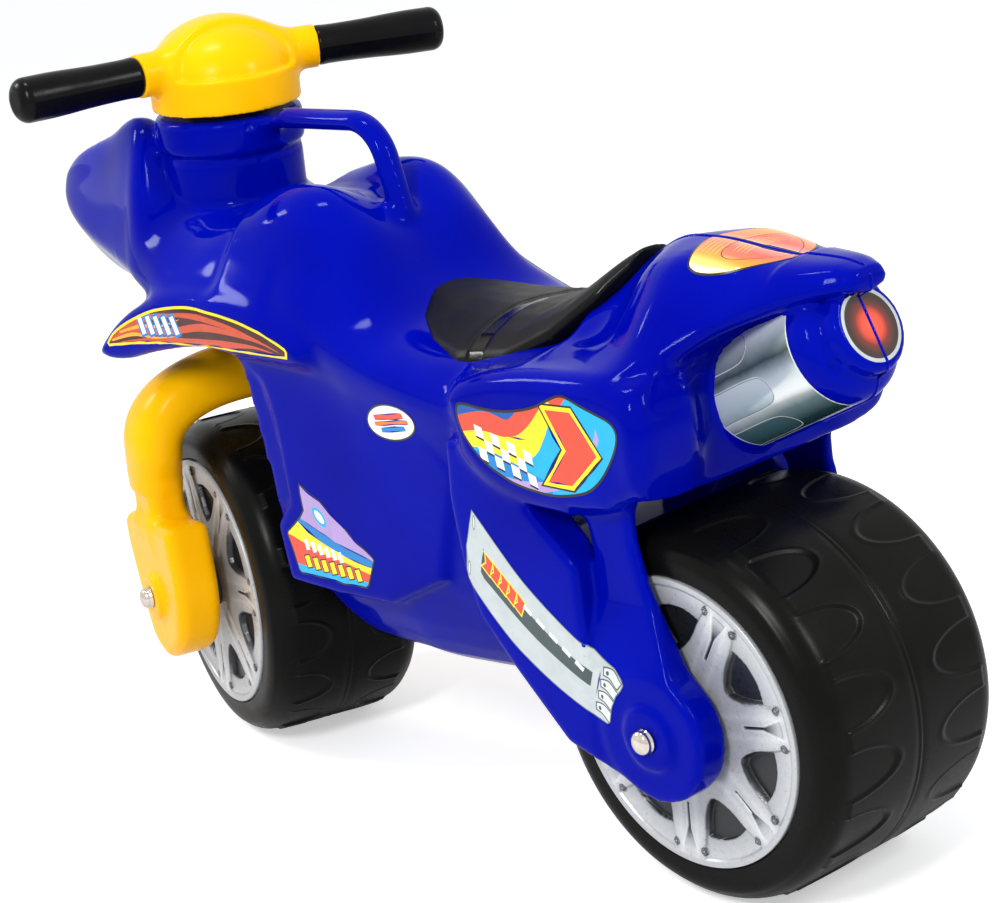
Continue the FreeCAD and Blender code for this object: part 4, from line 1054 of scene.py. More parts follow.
def makeTyre(prefix):
    body, half, shoulder = prefix + "_wheel", wheelHalf[prefix], tyreSet["shoulder"]
    profile = np.array(tyreProfile(half, shoulder))
    steps = tyreSet["steps"] // 1
    angle = np.arange(steps) * 2 * math.pi / steps
    y = np.repeat(profile[None, :, 0], steps, 0)
    r = np.repeat(profile[None, :, 1], steps, 0)
    turn = np.repeat(angle[:, None], len(profile), 1)
    tread = half - shoulder + 1.5
    # leaf cut-outs open to the shoulder, one row on each side
    pitch = 2 * math.pi / tyreSet["leaves"]
    phase = (turn - math.radians(tyreSet["leafTurn"]) + pitch / 2) % pitch - pitch / 2
    across = phase * wheelRadius / tyreSet["leafHalf"]
    deep = (tread - np.abs(y)) / (tread - tyreSet["leafEnd"] * half / wheelHalf["rear"])
    inLeaf = 1 - np.sqrt(across ** 2 + np.clip(deep, -0.4, 2) ** 2)
    leafEdge = smoothStep(0.5 + inLeaf * tyreSet["leafHalf"] / tyreSet["edgeSoft"] / 2)
    bandEdge = smoothStep(0.5 + (tread - np.abs(y)) / tyreSet["edgeSoft"] / 1.6)
    lift = tyreSet["treadLift"] * bandEdge * (1 - leafEdge)
    fromEdge = inLeaf * tyreSet["leafHalf"] + 1.0
    lift += tyreSet["bead"] * bandEdge * np.exp(-(fromEdge / 0.8) ** 2)
    crown = tyreSet["crown"] * (np.clip(np.abs(y) / tread, 0, 1) ** 2)
    seam = tyreSet["seamLift"] * np.exp(-(y / tyreSet["seamWidth"]) ** 2)
    onTread = np.abs(y) < half - 3
    r = np.where(onTread & (r > 90), r + lift - crown, r)
    # the seam stands in a faint dip, so that it stays inside the wheel's size
    r = np.where(np.abs(y) < 6, r - 0.6 * np.exp(-(y / 3.2) ** 2) + seam, r)
    points = spun(r, y, turn, wheelPlace(body))
    wide = len(profile)
    faces = []
    for a in range(steps):
        b = (a + 1) % steps
        for k in range(wide - 1):
            faces.append((a * wide + k, a * wide + k + 1, b * wide + k + 1, b * wide + k))
    # the two beads are joined inside, so that the tyre is closed
    for a in range(steps):
        b = (a + 1) % steps
        faces.append((a * wide + wide - 1, a * wide, b * wide, b * wide + wide - 1))
    mesh = bpy.data.meshes.new(prefix + "TyreSkin")
    mesh.from_pydata(points.tolist(), [], faces)
    smoothFaces(mesh)
    return addPiece(prefix + "TyreSkin", mesh, body, tyrePlastic, [prefix + "_tyre"])


for prefix in wheelHalf:
    makeTyre(prefix)
print("tyres turned")

rimSet = {"steps": 700, "radius": 80.9, "bore": 15.4, "spokes": 7, "windowTurn": 145.8, "top": 1.2,
          "windowFloor": -3.6, "windowTop": 66.0, "boltRadius": 2.1, "boltRing": 72.8, "boltTurn": 8.1,
          # half width of the opening at each distance from the hub
          "opening": [(42, 0), (45, 4.6), (50, 9.4), (55, 12.6), (60, 15.2), (65, 18.2), (69, 21.2), (72, 22.6),
                      (77, 23.5)]}


def rimHeights(r, phase):
    # phase is the angle from the opening's middle, in radians; heights are from the tyre's side, in mm, and
    # the paint is 0 for black to 1 for the palest silver
    half = math.pi / rimSet["spokes"]
    u = np.abs(r * np.sin(phase))
    v = r * np.cos(phase)
    fromSpoke = r * np.sin(half - np.abs(phase))       # from the spoke's middle line
    openTable = np.array(rimSet["opening"])
    openHalf = np.interp(v, openTable[:, 0], openTable[:, 1], left=-6, right=-6)
    side = (openHalf - u) * 0.86
    field = np.minimum(np.minimum(side, 76.6 - r), v - 43.0)
    fieldIn = smoothStep(0.5 + field / 0.9)
    # spokes shine along their flanks and dull towards the hub
    shade = 0.60 + 0.16 * smoothStep((r - 44) / 26) + 0.10 * np.exp(-((fromSpoke - 5.5) / 2.2) ** 2)
    shade -= 0.10 * np.exp(-(side / 1.6) ** 2) * (r < 77)
    height = 0.5 + 0.25 * np.exp(-((fromSpoke - 5.5) / 2.5) ** 2)
    # pale step inside the opening, lit towards the ring
    step = 0.80 - 0.018 * (77 - r)
    paint = shade * (1 - fieldIn) + step * fieldIn
    height = height * (1 - fieldIn) - 0.7 * fieldIn
    rimLine = np.exp(-(field / 0.55) ** 2) * (r < 77.4)
    paint -= 0.20 * rimLine
    # the dark window
    window = np.minimum(field - 1.1, rimSet["windowTop"] - r - 0.010 * u ** 2)
    windowIn = smoothStep(0.5 + window / 0.8)
    paint = paint * (1 - windowIn) + 0.05 * windowIn
    height = height * (1 - windowIn) + rimSet["windowFloor"] * windowIn
    paint -= 0.10 * np.exp(-(window / 0.7) ** 2)
    # slit along the spoke's middle, and the shaded flare beyond it
    slitHalf = np.where(r < 60, 0.75, 0.75 + 0.30 * (r - 60))
    slit = np.minimum(np.minimum(slitHalf - fromSpoke, r - 46), 73 - r)
    slitIn = smoothStep(0.5 + slit / 0.8)
    inner = np.where(r < 61, 0.06, np.clip(0.22 + 0.045 * (r - 61), 0, 0.72))
    paint = paint * (1 - slitIn) + inner * slitIn
    height -= np.where(r < 61, 1.2, 0.45) * slitIn
    slitLine = np.exp(-((fromSpoke - slitHalf - 0.6) / 0.5) ** 2)
    paint += 0.14 * (slitLine * smoothStep((r - 44) / 3) * smoothStep((75 - r) / 2))
    # bolts, two at each spoke's outer end
    fromBolt = np.abs(phase) - (half - math.radians(rimSet["boltTurn"]))
    bolt = np.hypot(r * np.sin(fromBolt), r * np.cos(fromBolt) - rimSet["boltRing"])
    head = smoothStep(0.5 + (rimSet["boltRadius"] - bolt) / 0.6)
    height = height * (1 - head) + 0.95 * head
    paint = paint * (1 - head) + 0.62 * head
    paint -= (0.48 * np.exp(-((bolt - rimSet["boltRadius"]) / 0.40) ** 2)
              + 0.40 * np.exp(-((bolt - 1.0) / 0.40) ** 2))
    # outer ring and hub
    ringIn = smoothStep(0.5 + (r - 77.4) / 0.8)
    height = height * (1 - ringIn) + rimSet["top"] * ringIn
    paint = paint * (1 - ringIn) + 0.70 * ringIn
    hubIn = smoothStep((27 - r) / 2)
    height = height * (1 - hubIn) + 0.9 * hubIn
    return height, np.clip(paint, 0, 1)


def makeRim(prefix, sideName, side):
    body, half = prefix + "_wheel", wheelHalf[prefix]
    steps = rimSet["steps"] // 1
    radii = np.concatenate([[rimSet["bore"]], np.arange(17, 40, 1.6), np.arange(40, 78.6, 0.6),
                            [78.6, 79.4, 80.2, 80.6, rimSet["radius"]]])
    wide = len(radii)
    angle = np.arange(steps) * 2 * math.pi / steps
    r = np.repeat(radii[None, :], steps, 0)
    turn = np.repeat(angle[:, None], wide, 1)
    pitch = 2 * math.pi / rimSet["spokes"]
    phase = (turn - math.radians(rimSet["windowTurn"]) + pitch / 2) % pitch - pitch / 2
    height, paint = rimHeights(r, phase)
    height[:, -1] -= 0.5
    y = side * (half + height)
    front = np.stack([r * np.cos(turn), y, r * np.sin(turn)], 2).reshape(-1, 3)
    back = side * (half - 5.9)
    rimBack = np.stack([r[:, -1] * np.cos(angle), np.full(steps, back), r[:, -1] * np.sin(angle)], 1)
    hubBack = np.stack([r[:, 0] * np.cos(angle), np.full(steps, back), r[:, 0] * np.sin(angle)], 1)
    points = np.concatenate([front, rimBack, hubBack]) * mm
    place = np.array(wheelPlace(body))
    points = points @ place[:3, :3].T + place[:3, 3]
    faces = []
    outer = steps * wide
    inner = outer + steps
    for a in range(steps):
        b = (a + 1) % steps
        for k in range(wide - 1):
            faces.append((a * wide + k, a * wide + k + 1, b * wide + k + 1, b * wide + k))
        faces.append((a * wide + wide - 1, outer + a, outer + b, b * wide + wide - 1))
        faces.append((outer + a, inner + a, inner + b, outer + b))
        faces.append((inner + a, a * wide, b * wide, inner + b))
    if side < 0:
        faces = [tuple(reversed(face)) for face in faces]
    name = prefix + "RimSkin" + sideName
    mesh = bpy.data.meshes.new(name)
    mesh.from_pydata(points.tolist(), [], faces)
    setShare(mesh, "paint", np.concatenate([paint.ravel(), np.full(2 * steps, 0.5)]))
    smoothFaces(mesh)
    return addPiece(name, mesh, body, rimPaint, [prefix + "_rim_" + sideName.lower()])


sides = (("Left", 1), ("Right", -1))
for prefix in wheelHalf:
    for sideName, side in sides:
        makeRim(prefix, sideName, side)
print("rims made")


# turned small pieces
def turned(name, profile, place, body, finish, replaces, steps=96, wobble=None):
    # profile is (radius, along) in mm; it turns about the place's own Y
    profile = np.array(profile, float)
    angle = np.arange(steps) * 2 * math.pi / steps
    r = np.repeat(profile[None, :, 0], steps, 0)
    y = np.repeat(profile[None, :, 1], steps, 0)
    turn = np.repeat(angle[:, None], len(profile), 1)
    if wobble:
        r = r + wobble(turn, y) * (r > 1)
    points = spun(r, y, turn, place)
    wide = len(profile)
    faces = []
    for a in range(steps):
        b = (a + 1) % steps
        for k in range(wide - 1):
            faces.append((a * wide + k, b * wide + k, b * wide + k + 1, a * wide + k + 1))
    mesh = bpy.data.meshes.new(name)
    mesh.from_pydata(points.tolist(), [], faces)
    work = bmesh.new()
    work.from_mesh(mesh)
    bmesh.ops.remove_doubles(work, verts=work.verts, dist=1e-6)
    bmesh.ops.recalc_face_normals(work, faces=work.faces)
    work.to_mesh(mesh)
    work.free()
    smoothFaces(mesh)
    return addPiece(name, mesh, body, finish, replaces)


capSet = {"seat": 95.0, "radius": 6.95, "height": 6.95, "skirt": 3.4, "lip": 0.5}


def capProfile():
    seat, radius, skirt, height = (capSet[key] for key in ("seat", "radius", "skirt", "height"))
    made = [(5.1, seat), (radius - 0.3, seat), (radius, seat + 0.3), (radius, seat + capSet["lip"] + 0.6),
            (radius - 0.45, seat + capSet["lip"] + 1.0), (radius - 0.45, seat + skirt)]
    for index in range(1, 17):
        angle = math.pi / 2 * index / 16
        made.append(((radius - 0.45) * math.cos(angle) ** 0.9, seat + skirt + (height - skirt) * math.sin(angle)))
    return made


for prefix, body in (("rear", "frame"), ("front", "steering")):
    for sideName, side in sides:
        base = wheelPlace(prefix + "_wheel")
        if side < 0:
            base = base @ Matrix.Rotation(math.pi, 4, "X")
        turned(prefix + "Cap" + sideName, capProfile(), base, body, capChrome, [prefix + "_axle_caps"])


def gripProfile():
    s, e = gripSet["start"], gripSet["stop"]
    lip, waist, bend = gripSet["lip"], gripSet["waist"], gripSet["round"]
    made = [(9.6, s), (11.2, s), (12.2, s + 0.5), (lip, s + 1.6), (lip, s + 3.4), (waist + 0.1, s + 6.0),
            (waist, s + 12), (waist + 0.15, s + 26)]
    for share in (0.45, 0.6, 0.72, 0.82):
        swell = float(smoothStep((share - 0.3) / 0.45))
        made.append((waist + 0.15 + (gripSet["endRadius"] - waist - 0.15) * swell, s + (e - s) * share))
    for index in range(0, 13):
        angle = math.pi / 2 * index / 12
        made.append((gripSet["endRadius"] - bend + bend * math.cos(angle), e - bend + bend * math.sin(angle)))
    made.append((3.0, e + 0.02))
    made.append((0.0, e + 0.03))
    return made


def gripWobble(turn, y):
    # mould halves meet in a low ridge, front and back, and the sides are a little flat
    ridge = 0.16 * (np.exp(-((np.sin(turn)) / 0.05) ** 2))
    flat = -0.12 * np.cos(2 * turn) * np.clip((y - 60) / 30, 0, 1)
    return ridge + flat - 0.14


for sideName, side in sides:
    base = (steerTurn @ Matrix.Translation(Vector((0, 0, barMiddle * mm)))
            @ Matrix.Rotation(math.radians(side * gripSet["sweep"]), 4, "Z"))
    if side < 0:
        base = base @ Matrix.Rotation(math.pi, 4, "Z")
    turned("grip" + sideName, gripProfile(), base, "steering", gripPlastic,
           [sideName.lower() + "_grip"], 144, gripWobble)
print("grips and caps turned")

# frame nodes that stay
for node, finish in (("headstock_bushes", bushPlastic), ("rear_wheel_bushes", bushPlastic),
                     ("front_wheel_bushes", bushPlastic), ("rear_axle", rodSteel), ("front_axle", rodSteel),
                     ("steering_bolt", rodSteel)):
    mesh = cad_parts[node].data
    mesh.materials.clear()
    mesh.materials.append(finish)

# stickers
inkTones = {"black": (20, 20, 22), "yellow": (250, 224, 30), "red": (238, 76, 52), "orange": (240, 120, 40),
            "cyan": (0, 172, 228), "azure": (0, 128, 200), "navy": (0, 84, 160), "lilac": (176, 150, 205),
            "white": (236, 240, 240), "ember": (70, 22, 16), "flame": (206, 78, 44), "silver": (196, 204, 205),
            "steel": (120, 132, 134), "slate": (66, 80, 82), "pale": (222, 228, 228), "amber": (252, 176, 40)}
inks = {name: makeInk("ink" + name.capitalize(), tone(*rgb), 0.35 if name in ("silver", "steel", "pale") else 0.0)
        for name, rgb in inkTones.items()}
rampInks = {
    "tubeChrome": {"along": "Y", "metal": 0.3, "rough": 0.14, "stops": [
        (0.00, (40, 52, 54)), (0.14, (96, 108, 110)), (0.24, (214, 222, 222)), (0.34, (150, 162, 164)),
        (0.44, (58, 74, 76)), (0.54, (186, 198, 198)), (0.66, (228, 232, 232)), (0.76, (112, 136, 140)),
        (0.90, (30, 66, 72)), (1.00, (22, 44, 50))]},
    "ovalChrome": {"along": "Y", "metal": 0.3, "rough": 0.14, "stops": [
        (0.00, (84, 92, 94)), (0.2, (206, 212, 212)), (0.38, (120, 132, 136)), (0.5, (206, 216, 218)),
        (0.62, (180, 196, 200)), (0.78, (70, 104, 112)), (1.00, (40, 70, 78))]},
    "tailGlow": {"along": "outward", "metal": 0.0, "rough": 0.16, "stops": [
        (0.0, (250, 96, 66)), (0.16, (236, 78, 52)), (0.27, (120, 46, 34)), (0.38, (58, 40, 34)),
        (0.5, (48, 38, 33))]},
    "lampField": {"along": "X", "metal": 0.0, "rough": 0.16, "stops": [
        (0.0, (250, 246, 232)), (0.14, (252, 226, 120)), (0.34, (246, 150, 40)), (0.6, (238, 112, 42)),
        (0.8, (236, 92, 52)), (1.0, (240, 150, 130))]},
    "lampHeart": {"along": "Y", "metal": 0.0, "rough": 0.16, "stops": [
        (0.0, (248, 214, 120)), (0.3, (238, 104, 52)), (0.62, (232, 72, 50)), (0.85, (240, 130, 110)),
        (1.0, (250, 220, 214))]}}
for name, facts in rampInks.items():
    inks[name] = makeRampInk("ink" + name[0].upper() + name[1:], facts)


def curved(points, steps=6, closed=True):
    # smooth line through the points
    points = [Vector((p[0], p[1])) for p in points]
    count = len(points)
    made = []
    for index in range(count if closed else count - 1):
        p0, p1, p2, p3 = (points[(index + k) % count] if closed else points[min(max(index + k, 0), count - 1)]
                          for k in (-1, 0, 1, 2))
        for step in range(steps):
            t = step / steps
            made.append(0.5 * (2 * p1 + (p2 - p0) * t + (2 * p0 - 5 * p1 + 4 * p2 - p3) * t * t
                               + (3 * p1 - p0 - 3 * p2 + p3) * t ** 3))
    if not closed:
        made.append(points[-1])
    return [(p.x, p.y) for p in made]


def signedArea(points):
    # twice the area, above zero where the outline runs to the left round it
    return sum(points[k - 1][0] * points[k][1] - points[k][0] * points[k - 1][1] for k in range(len(points)))


def inset(points, depth):
    # the outline drawn in by a depth, corner by corner
    sign = 1 if signedArea(points) > 0 else -1
    made = []
    count = len(points)
    for index in range(count):
        a, b, c = (Vector(points[(index + k) % count]) for k in (-1, 0, 1))
        first, second = (b - a), (c - b)
        if first.length < 1e-6 or second.length < 1e-6:
            made.append((b.x, b.y))
            continue
        first.normalize()
        second.normalize()
        n1, n2 = Vector((-first.y, first.x)) * sign, Vector((-second.y, second.x)) * sign
        middle = n1 + n2
        if middle.length < 1e-6:
            middle = n1
        middle.normalize()
        reach = depth / max(middle.dot(n1), 0.5)
        p = b + middle * reach
        made.append((p.x, p.y))
    return made


def band(start, stop, width):
    # a straight stripe from one point to another
    a, b = Vector(start), Vector(stop)
    side = Vector((-(b - a).y, (b - a).x)).normalized()
    side = side * width / 2
    return [tuple(a + side), tuple(a - side), tuple(b - side), tuple(b + side)]


def ribbon(line, widths):
    # a stripe along a curved line whose width changes
    line = curved(line, 6, False)
    left, right = [], []
    for index, point in enumerate(line):
        a = Vector(line[max(index - 1, 0)])
        b = Vector(line[min(index + 1, len(line) - 1)])
        side = Vector((-(b - a).y, (b - a).x)).normalized()
        share = index / (len(line) - 1)
        spot = share * (len(widths) - 1)
        low = min(int(spot), len(widths) - 2)
        width = widths[low] + (widths[low + 1] - widths[low]) * (spot - low)
        left.append(tuple(Vector(point) + side * width / 2))
        right.append(tuple(Vector(point) - side * width / 2))
    return left + list(reversed(right))


def disc(x, y, radius, tall=None, count=32, turn=0.0):
    # a circle, or with tall an oval, turned by an angle in radians
    tall = radius if tall is None else tall
    made = []
    for index in range(count):
        a = 2 * math.pi * index / count
        u, v = radius * math.cos(a), tall * math.sin(a)
        made.append((x + u * math.cos(turn) - v * math.sin(turn), y + u * math.sin(turn) + v * math.cos(turn)))
    return made


def makeSticker(name, edgeInk, groundInk, outline, border, layers, place, spacing=2.2, lift=0.22, reach=400):
    # place(u, v) gives a ray's start and direction; the film lies where it lands, or with no reach at the start
    rings = [outline, inset(outline, border)] + [points for ink, points in layers]
    names = [edgeInk, groundInk] + [ink for ink, points in layers]
    coords, faces = [], []
    for ring in rings:
        if signedArea(ring) < 0:
            ring = list(reversed(ring))
        faces.append(list(range(len(coords), len(coords) + len(ring))))
        coords += [Vector(p) for p in ring]
    us = [p[0] for p in outline]
    vs = [p[1] for p in outline]
    u = min(us)
    row = 0
    while u < max(us):
        v = min(vs) + (spacing / 2 if row % 2 else 0)
        while v < max(vs):
            coords.append(Vector((u + 0.013, v + 0.017)))
            v += spacing
        u += spacing * 0.87
        row += 1
    verts, _, tris, _, _, owners = delaunay_2d_cdt(coords, [], faces, 1, 1e-5)
    landed = []
    for p in verts:
        start, way = place(p.x, p.y)
        if not reach:
            landed.append(start)
            continue
        spot, normal, _, _ = bodyTree.ray_cast(start, way, reach * mm)
        landed.append(None if spot is None else spot + (normal if normal.dot(way) < 0 else -normal) * lift * mm)
    used, keep, mats = {}, [], []
    order = []
    for tri, owner in zip(tris, owners):
        if 0 not in owner or any(landed[k] is None for k in tri):
            continue
        sides = [(landed[tri[k]] - landed[tri[k - 1]]).length for k in range(len(tri))]
        if max(sides) > 12 * mm:
            continue
        top = max(owner) if 1 in owner else 0
        ink = names[top]
        if ink not in order:
            order.append(ink)
        keep.append([used.setdefault(k, len(used)) for k in tri])
        mats.append(order.index(ink))
    points = [None] * len(used)
    uvs = [None] * len(used)
    wide, tall = max(us) - min(us), max(vs) - min(vs)
    for old, new in used.items():
        points[new] = landed[old]
        uvs[new] = ((verts[old].x - min(us)) / wide, (verts[old].y - min(vs)) / tall)
    mesh = bpy.data.meshes.new(name)
    mesh.from_pydata(points, [], keep)
    for ink in order:
        mesh.materials.append(inks[ink])
    mesh.polygons.foreach_set("material_index", mats)
    layer = mesh.uv_layers.new(name="map")
    for loop in mesh.loops:
        layer.data[loop.index].uv = uvs[loop.vertex_index]
    # faces look outward, against the rays
    work = bmesh.new()
    work.from_mesh(mesh)
    start, way = place(sum(us) / len(us), sum(vs) / len(vs))
    total = Vector((0, 0, 0))
    for face in work.faces:
        total += face.normal * face.calc_area()
    if total.dot(way) > 0:
        bmesh.ops.reverse_faces(work, faces=work.faces)
    work.to_mesh(mesh)
    work.free()
    smoothFaces(mesh)
    return addPiece(name, mesh, "frame")


def fromSide(side):
    # rays across the bike, from its left (1) or right (-1)
    def place(x, z):
        return at(x, side * 200, z), Vector((0, -side, 0))
    return place


def fromAbove(side):
    # rays straight down, on the left (1) or right (-1)
    def place(x, y):
        return at(x, side * y, 420), Vector((0, 0, -1))
    return place


wingSticker = {
    "outline": curved([(457, 277.5), (450, 284), (437, 290.8), (419.4, 297.6), (401.3, 303.2), (384, 306.6),
                       (367.4, 308.6), (354.6, 309), (341.4, 308), (326.7, 306.6), (307.5, 303.6),
                       (290.4, 299.4)],
                      5, False)
    + [(275, 294), (267.6, 291), (265.8, 288.8), (267.4, 284.4), (303.9, 284.2), (323.7, 284), (350, 283.8),
       (375.7, 283), (397.3, 282), (419.6, 280.2), (442.8, 277.2), (454.8, 275.6)],
    "flames": [ribbon([(452, 280), (420, 289), (385, 291), (345, 297), (300, 294),
                       (274, 288)], [2, 7, 4, 5, 2, 0.3]),
               ribbon([(446, 283), (415, 296), (380, 302), (350, 303), (318, 299),
                       (290, 293)], [2, 5, 2, 4, 3, 0.3]),
               ribbon([(440, 279), (400, 284.5), (365, 287), (330, 288), (300, 289),
                       (280, 287)], [2, 4, 3, 5, 2, 0.3])],
    "sparks": [ribbon([(450, 280), (425, 286), (400, 286), (375, 289)], [1, 2.4, 1.2, 0.2]),
               ribbon([(440, 286), (415, 292), (392, 294), (370, 300)], [1, 2.6, 1.4, 0.2])]}
shieldSticker = {
    "outline": curved([(114.5, 272), (112.5, 276.3), (105.8, 277.2), (93.9, 276.2), (77.9, 276.2), (61.7, 278.5),
                       (49.4, 281.9), (36.9, 287.3), (30.4, 289.4), (24.5, 289), (14.8, 285.7), (4.3, 282.6),
                       (-4.6, 279.9), (-9.6, 276.3), (-10.8, 271.4), (-8.4, 264.6), (-2.3, 255.5), (6.0, 245.9),
                       (14.6, 239.5), (24.2, 236.0), (38.4, 233.4), (51.5, 232.9), (70.9, 235.0), (84, 239.0),
                       (96, 244.5), (105.5, 252), (111.5, 259.5), (114, 266.5)], 4)}
ovalSticker = {"outline": disc(194.8, 251.4, 23.6, 11.6, 40, -0.16)}
panelSticker = {"outline": [(297.5, 201.5), (278.6, 192.6), (258.3, 178.6), (242, 168), (236, 164.4),
                            (234, 162.2),
                            (243, 144.8), (246, 142.6), (267.6, 141.4), (291.6, 142.4), (308.7, 142.2),
                            (311.4, 143.8),
                            (314.4, 156.4), (317.6, 166.1), (316.8, 168.7), (302, 179.6), (297.6, 184.4),
                            (298.4, 195.5)]}
armSticker = {
    "outline": curved([(118.4, 214.6), (111.4, 207.1), (99.3, 194.0), (86.1, 180.6), (72.2, 169.4), (58.3, 159.6),
                       (44.6, 151), (31.6, 144), (21.5, 139.8)], 4, False)
    + [(16.2, 135.6), (14.6, 132), (17, 128.6), (21.5, 124.4), (25.8, 117.3), (28.6, 108.5), (31.0, 107.2)]
    + curved([(38.7, 109.2), (55.2, 115.6), (69.7, 122.4), (84.1, 130.6), (98.4, 140.2), (112.1, 152.6),
              (121.5, 162.6), (127, 169)], 4, False)
    + [(129.8, 173.5), (130, 179), (127.4, 192.7), (122.3, 205.5)],
    "frame": curved([(113.4, 199.8), (104.9, 187.5), (91.4, 174.4), (77.7, 162.8), (63.8, 153), (49.6, 145),
                     (32.5, 137.2)], 4, False)
    + curved([(38.6, 120.4), (53.1, 126.8), (67.4, 134.2), (81.7, 142.6), (95.8, 152.6), (109.8, 164),
              (119.6, 172)],
             4, False) + [(123, 178.1), (120, 188), (116, 196.4)]}


def bars(start, stop, count, width, lean):
    # a row of slanted bars between two points
    a, b = Vector(start), Vector(stop)
    made = []
    for index in range(count):
        middle = a + (b - a) * ((index + 0.5) / count)
        made.append(band(tuple(middle - Vector(lean) / 2), tuple(middle + Vector(lean) / 2), width))
    return made


def wingLayers():
    layers = [("flame", f) for f in wingSticker["flames"]] + [("amber", f) for f in wingSticker["sparks"]]
    layers += [("azure", inset(b, -1.1)) for b in bars((418, 292.5), (372, 296), 5, 5.4, (3.5, 12))]
    return layers + [("white", b) for b in bars((418, 292.5), (372, 296), 5, 4.6, (3.4, 11))]


def shieldLayers():
    checks = []
    for row in range(3):
        for column in range(7):
            if (row + column) % 2 == 0:
                x, z = 101 - column * 6.2 - row * 0.8, 266 - row * 6.2 - column * 1.6
                checks.append(("white", [(x, z), (x - 6.2, z - 1.6), (x - 7.0, z - 7.8), (x - 0.8, z - 6.2)]))
    arrow = [(44, 281), (23, 281.6), (6, 259), (28, 240), (48, 240), (31, 259.5)]
    layers = [("navy", [(130, 262), (60, 262), (60, 300), (130, 300)]),
              ("red", ribbon([(118, 264), (92, 268), (70, 264), (48, 280), (28, 292)], [8, 12, 16, 18, 10])),
              ("yellow", ribbon([(116, 256), (96, 258), (74, 254), (56, 262), (38, 284)], [7, 10, 16, 14, 6])),
              ("azure", ribbon([(112, 246), (90, 246), (66, 240), (44, 236)], [8, 12, 12, 6])),
              ("lilac", ribbon([(106, 240), (82, 236.5), (56, 236.5), (30, 244), (8, 262), (0, 284)],
                               [5, 6, 6, 5, 6, 5])),
              ("cyan", [(12, 300), (-20, 290), (-20, 232), (6, 232), (16, 250), (4, 268)])]
    layers += [("black", [(x, z - 1.2) for x, z in points]) for ink, points in checks] + checks
    return layers + [("black", inset(arrow, -2.6)), ("yellow", inset(arrow, -1.5)), ("red", inset(arrow, 0.9))]


def ovalLayers():
    return [("red", band((210, 252.5), (181, 257.2), 3.4)), ("orange", band((211, 248.6), (178, 253.6), 2.4)),
            ("azure", band((206, 245.2), (183, 248.8), 2.8))]


def panelLayers():
    layers = [("azure", [(320, 186), (300, 178), (270, 168), (230, 160), (230, 140), (330, 140)]),
              ("yellow", [(320, 180), (306, 177), (284, 166), (262, 160), (234, 156), (230, 140), (330, 140)]),
              ("red", [(322, 168), (312, 166), (286, 159), (262, 156), (236, 151.5), (230, 140), (330, 140)]),
              ("cyan", [(320, 149), (300, 148), (270, 147), (240, 147), (238, 138), (320, 138)])]
    layers += [("white", b) for b in bars((302, 162.6), (264, 158.4), 6, 3.8, (1.6, 6.4))]
    row = bars((304, 151.6), (248, 149.8), 7, 4.6, (1.8, 7))
    layers += [("black", inset(b, -0.8)) for b in row] + [("yellow", b) for b in row]
    return layers + [("cyan", disc(282, 182, 7.4, 4.4, 24, 0.7)), ("white", disc(282, 182, 5.2, 2.6, 24, 0.7))]


def armLayers():
    shell = armSticker["frame"]
    layers = [("steel", inset(shell, -0.9)), ("slate", shell), ("steel", inset(shell, 3.4)),
              ("silver", inset(shell, 4.6))]
    chevrons = []
    for index in range(5):
        share = index / 4
        x, z = 112 - 22 * share, 184 - 19 * share
        chevrons.append([(x, z + 6), (x - 5, z + 1), (x - 1, z - 6.5), (x + 4, z - 1.5), (x + 0.5, z + 0.5)])
    layers += [("yellow", inset(c, -0.8)) for c in chevrons] + [("red", c) for c in chevrons]
    for k in range(5):
        layers.append(("white", band((86 - 9 * k, 164.2 - 6.3 * k), (80.5 - 9 * k, 160.2 - 6.3 * k), 2.6)))
    for x, z in ((118.0, 207.0), (127.4, 179.6)):
        layers += [("steel", disc(x, z, 1.2, 4.6, 20, 0.18)), ("pale", disc(x, z, 0.7, 3.6, 20, 0.18))]
    for index in range(4):
        x, z = 26.6 + 2.9 * index, 135.4 - 7.0 * index
        shape = ribbon([(x + 3.0, z + 1.4), (x - 3.0, z + 0.4), (x - 8.4, z - 4.6)], [3.6, 5.2, 5.0])
        layers += [("slate", inset(shape, -0.8)), ("pale", shape), ("slate", disc(x + 0.4, z + 0.8, 1.2))]
    return layers


sideFilms = [
    # name, edge ink, ground ink, outline, edge width, layers from the lowest up, spacing of the mesh
    ("wingSticker", "yellow", "ember", wingSticker["outline"], 1.7, wingLayers(), 2.2),
    ("shieldSticker", "black", "cyan", shieldSticker["outline"], 1.5, shieldLayers(), 2.2),
    ("ovalSticker", "black", "white", ovalSticker["outline"], 1.1, ovalLayers(), 2.2),
    ("panelSticker", "black", "lilac", panelSticker["outline"], 1.2, panelLayers(), 2.2),
    ("armSticker", "steel", "silver", armSticker["outline"], 0.6, armLayers(), 2.0)]
for sideName, side in sides:
    for name, edgeInk, groundInk, outline, border, layers, spacing in sideFilms:
        makeSticker(name + sideName, edgeInk, groundInk, outline, border, layers, fromSide(side), spacing)
print("side stickers laid")

# tail lamp film, on both sides of the middle seam
lampSticker = {"outline": [(1.6, 1.2)] + curved([(1.8, 5.1), (-1.2, 13), (-5.4, 22), (-9.8, 31.2), (-13.0, 36.4),
                                                 (-17.5, 38.2), (-22.5, 37.8), (-30.2, 35.1), (-39.6, 30),
                                                 (-47.6, 23.4),
                                                 (-54, 15.6), (-58.2, 6.0)], 4, False) + [(-59, 1.2)]}


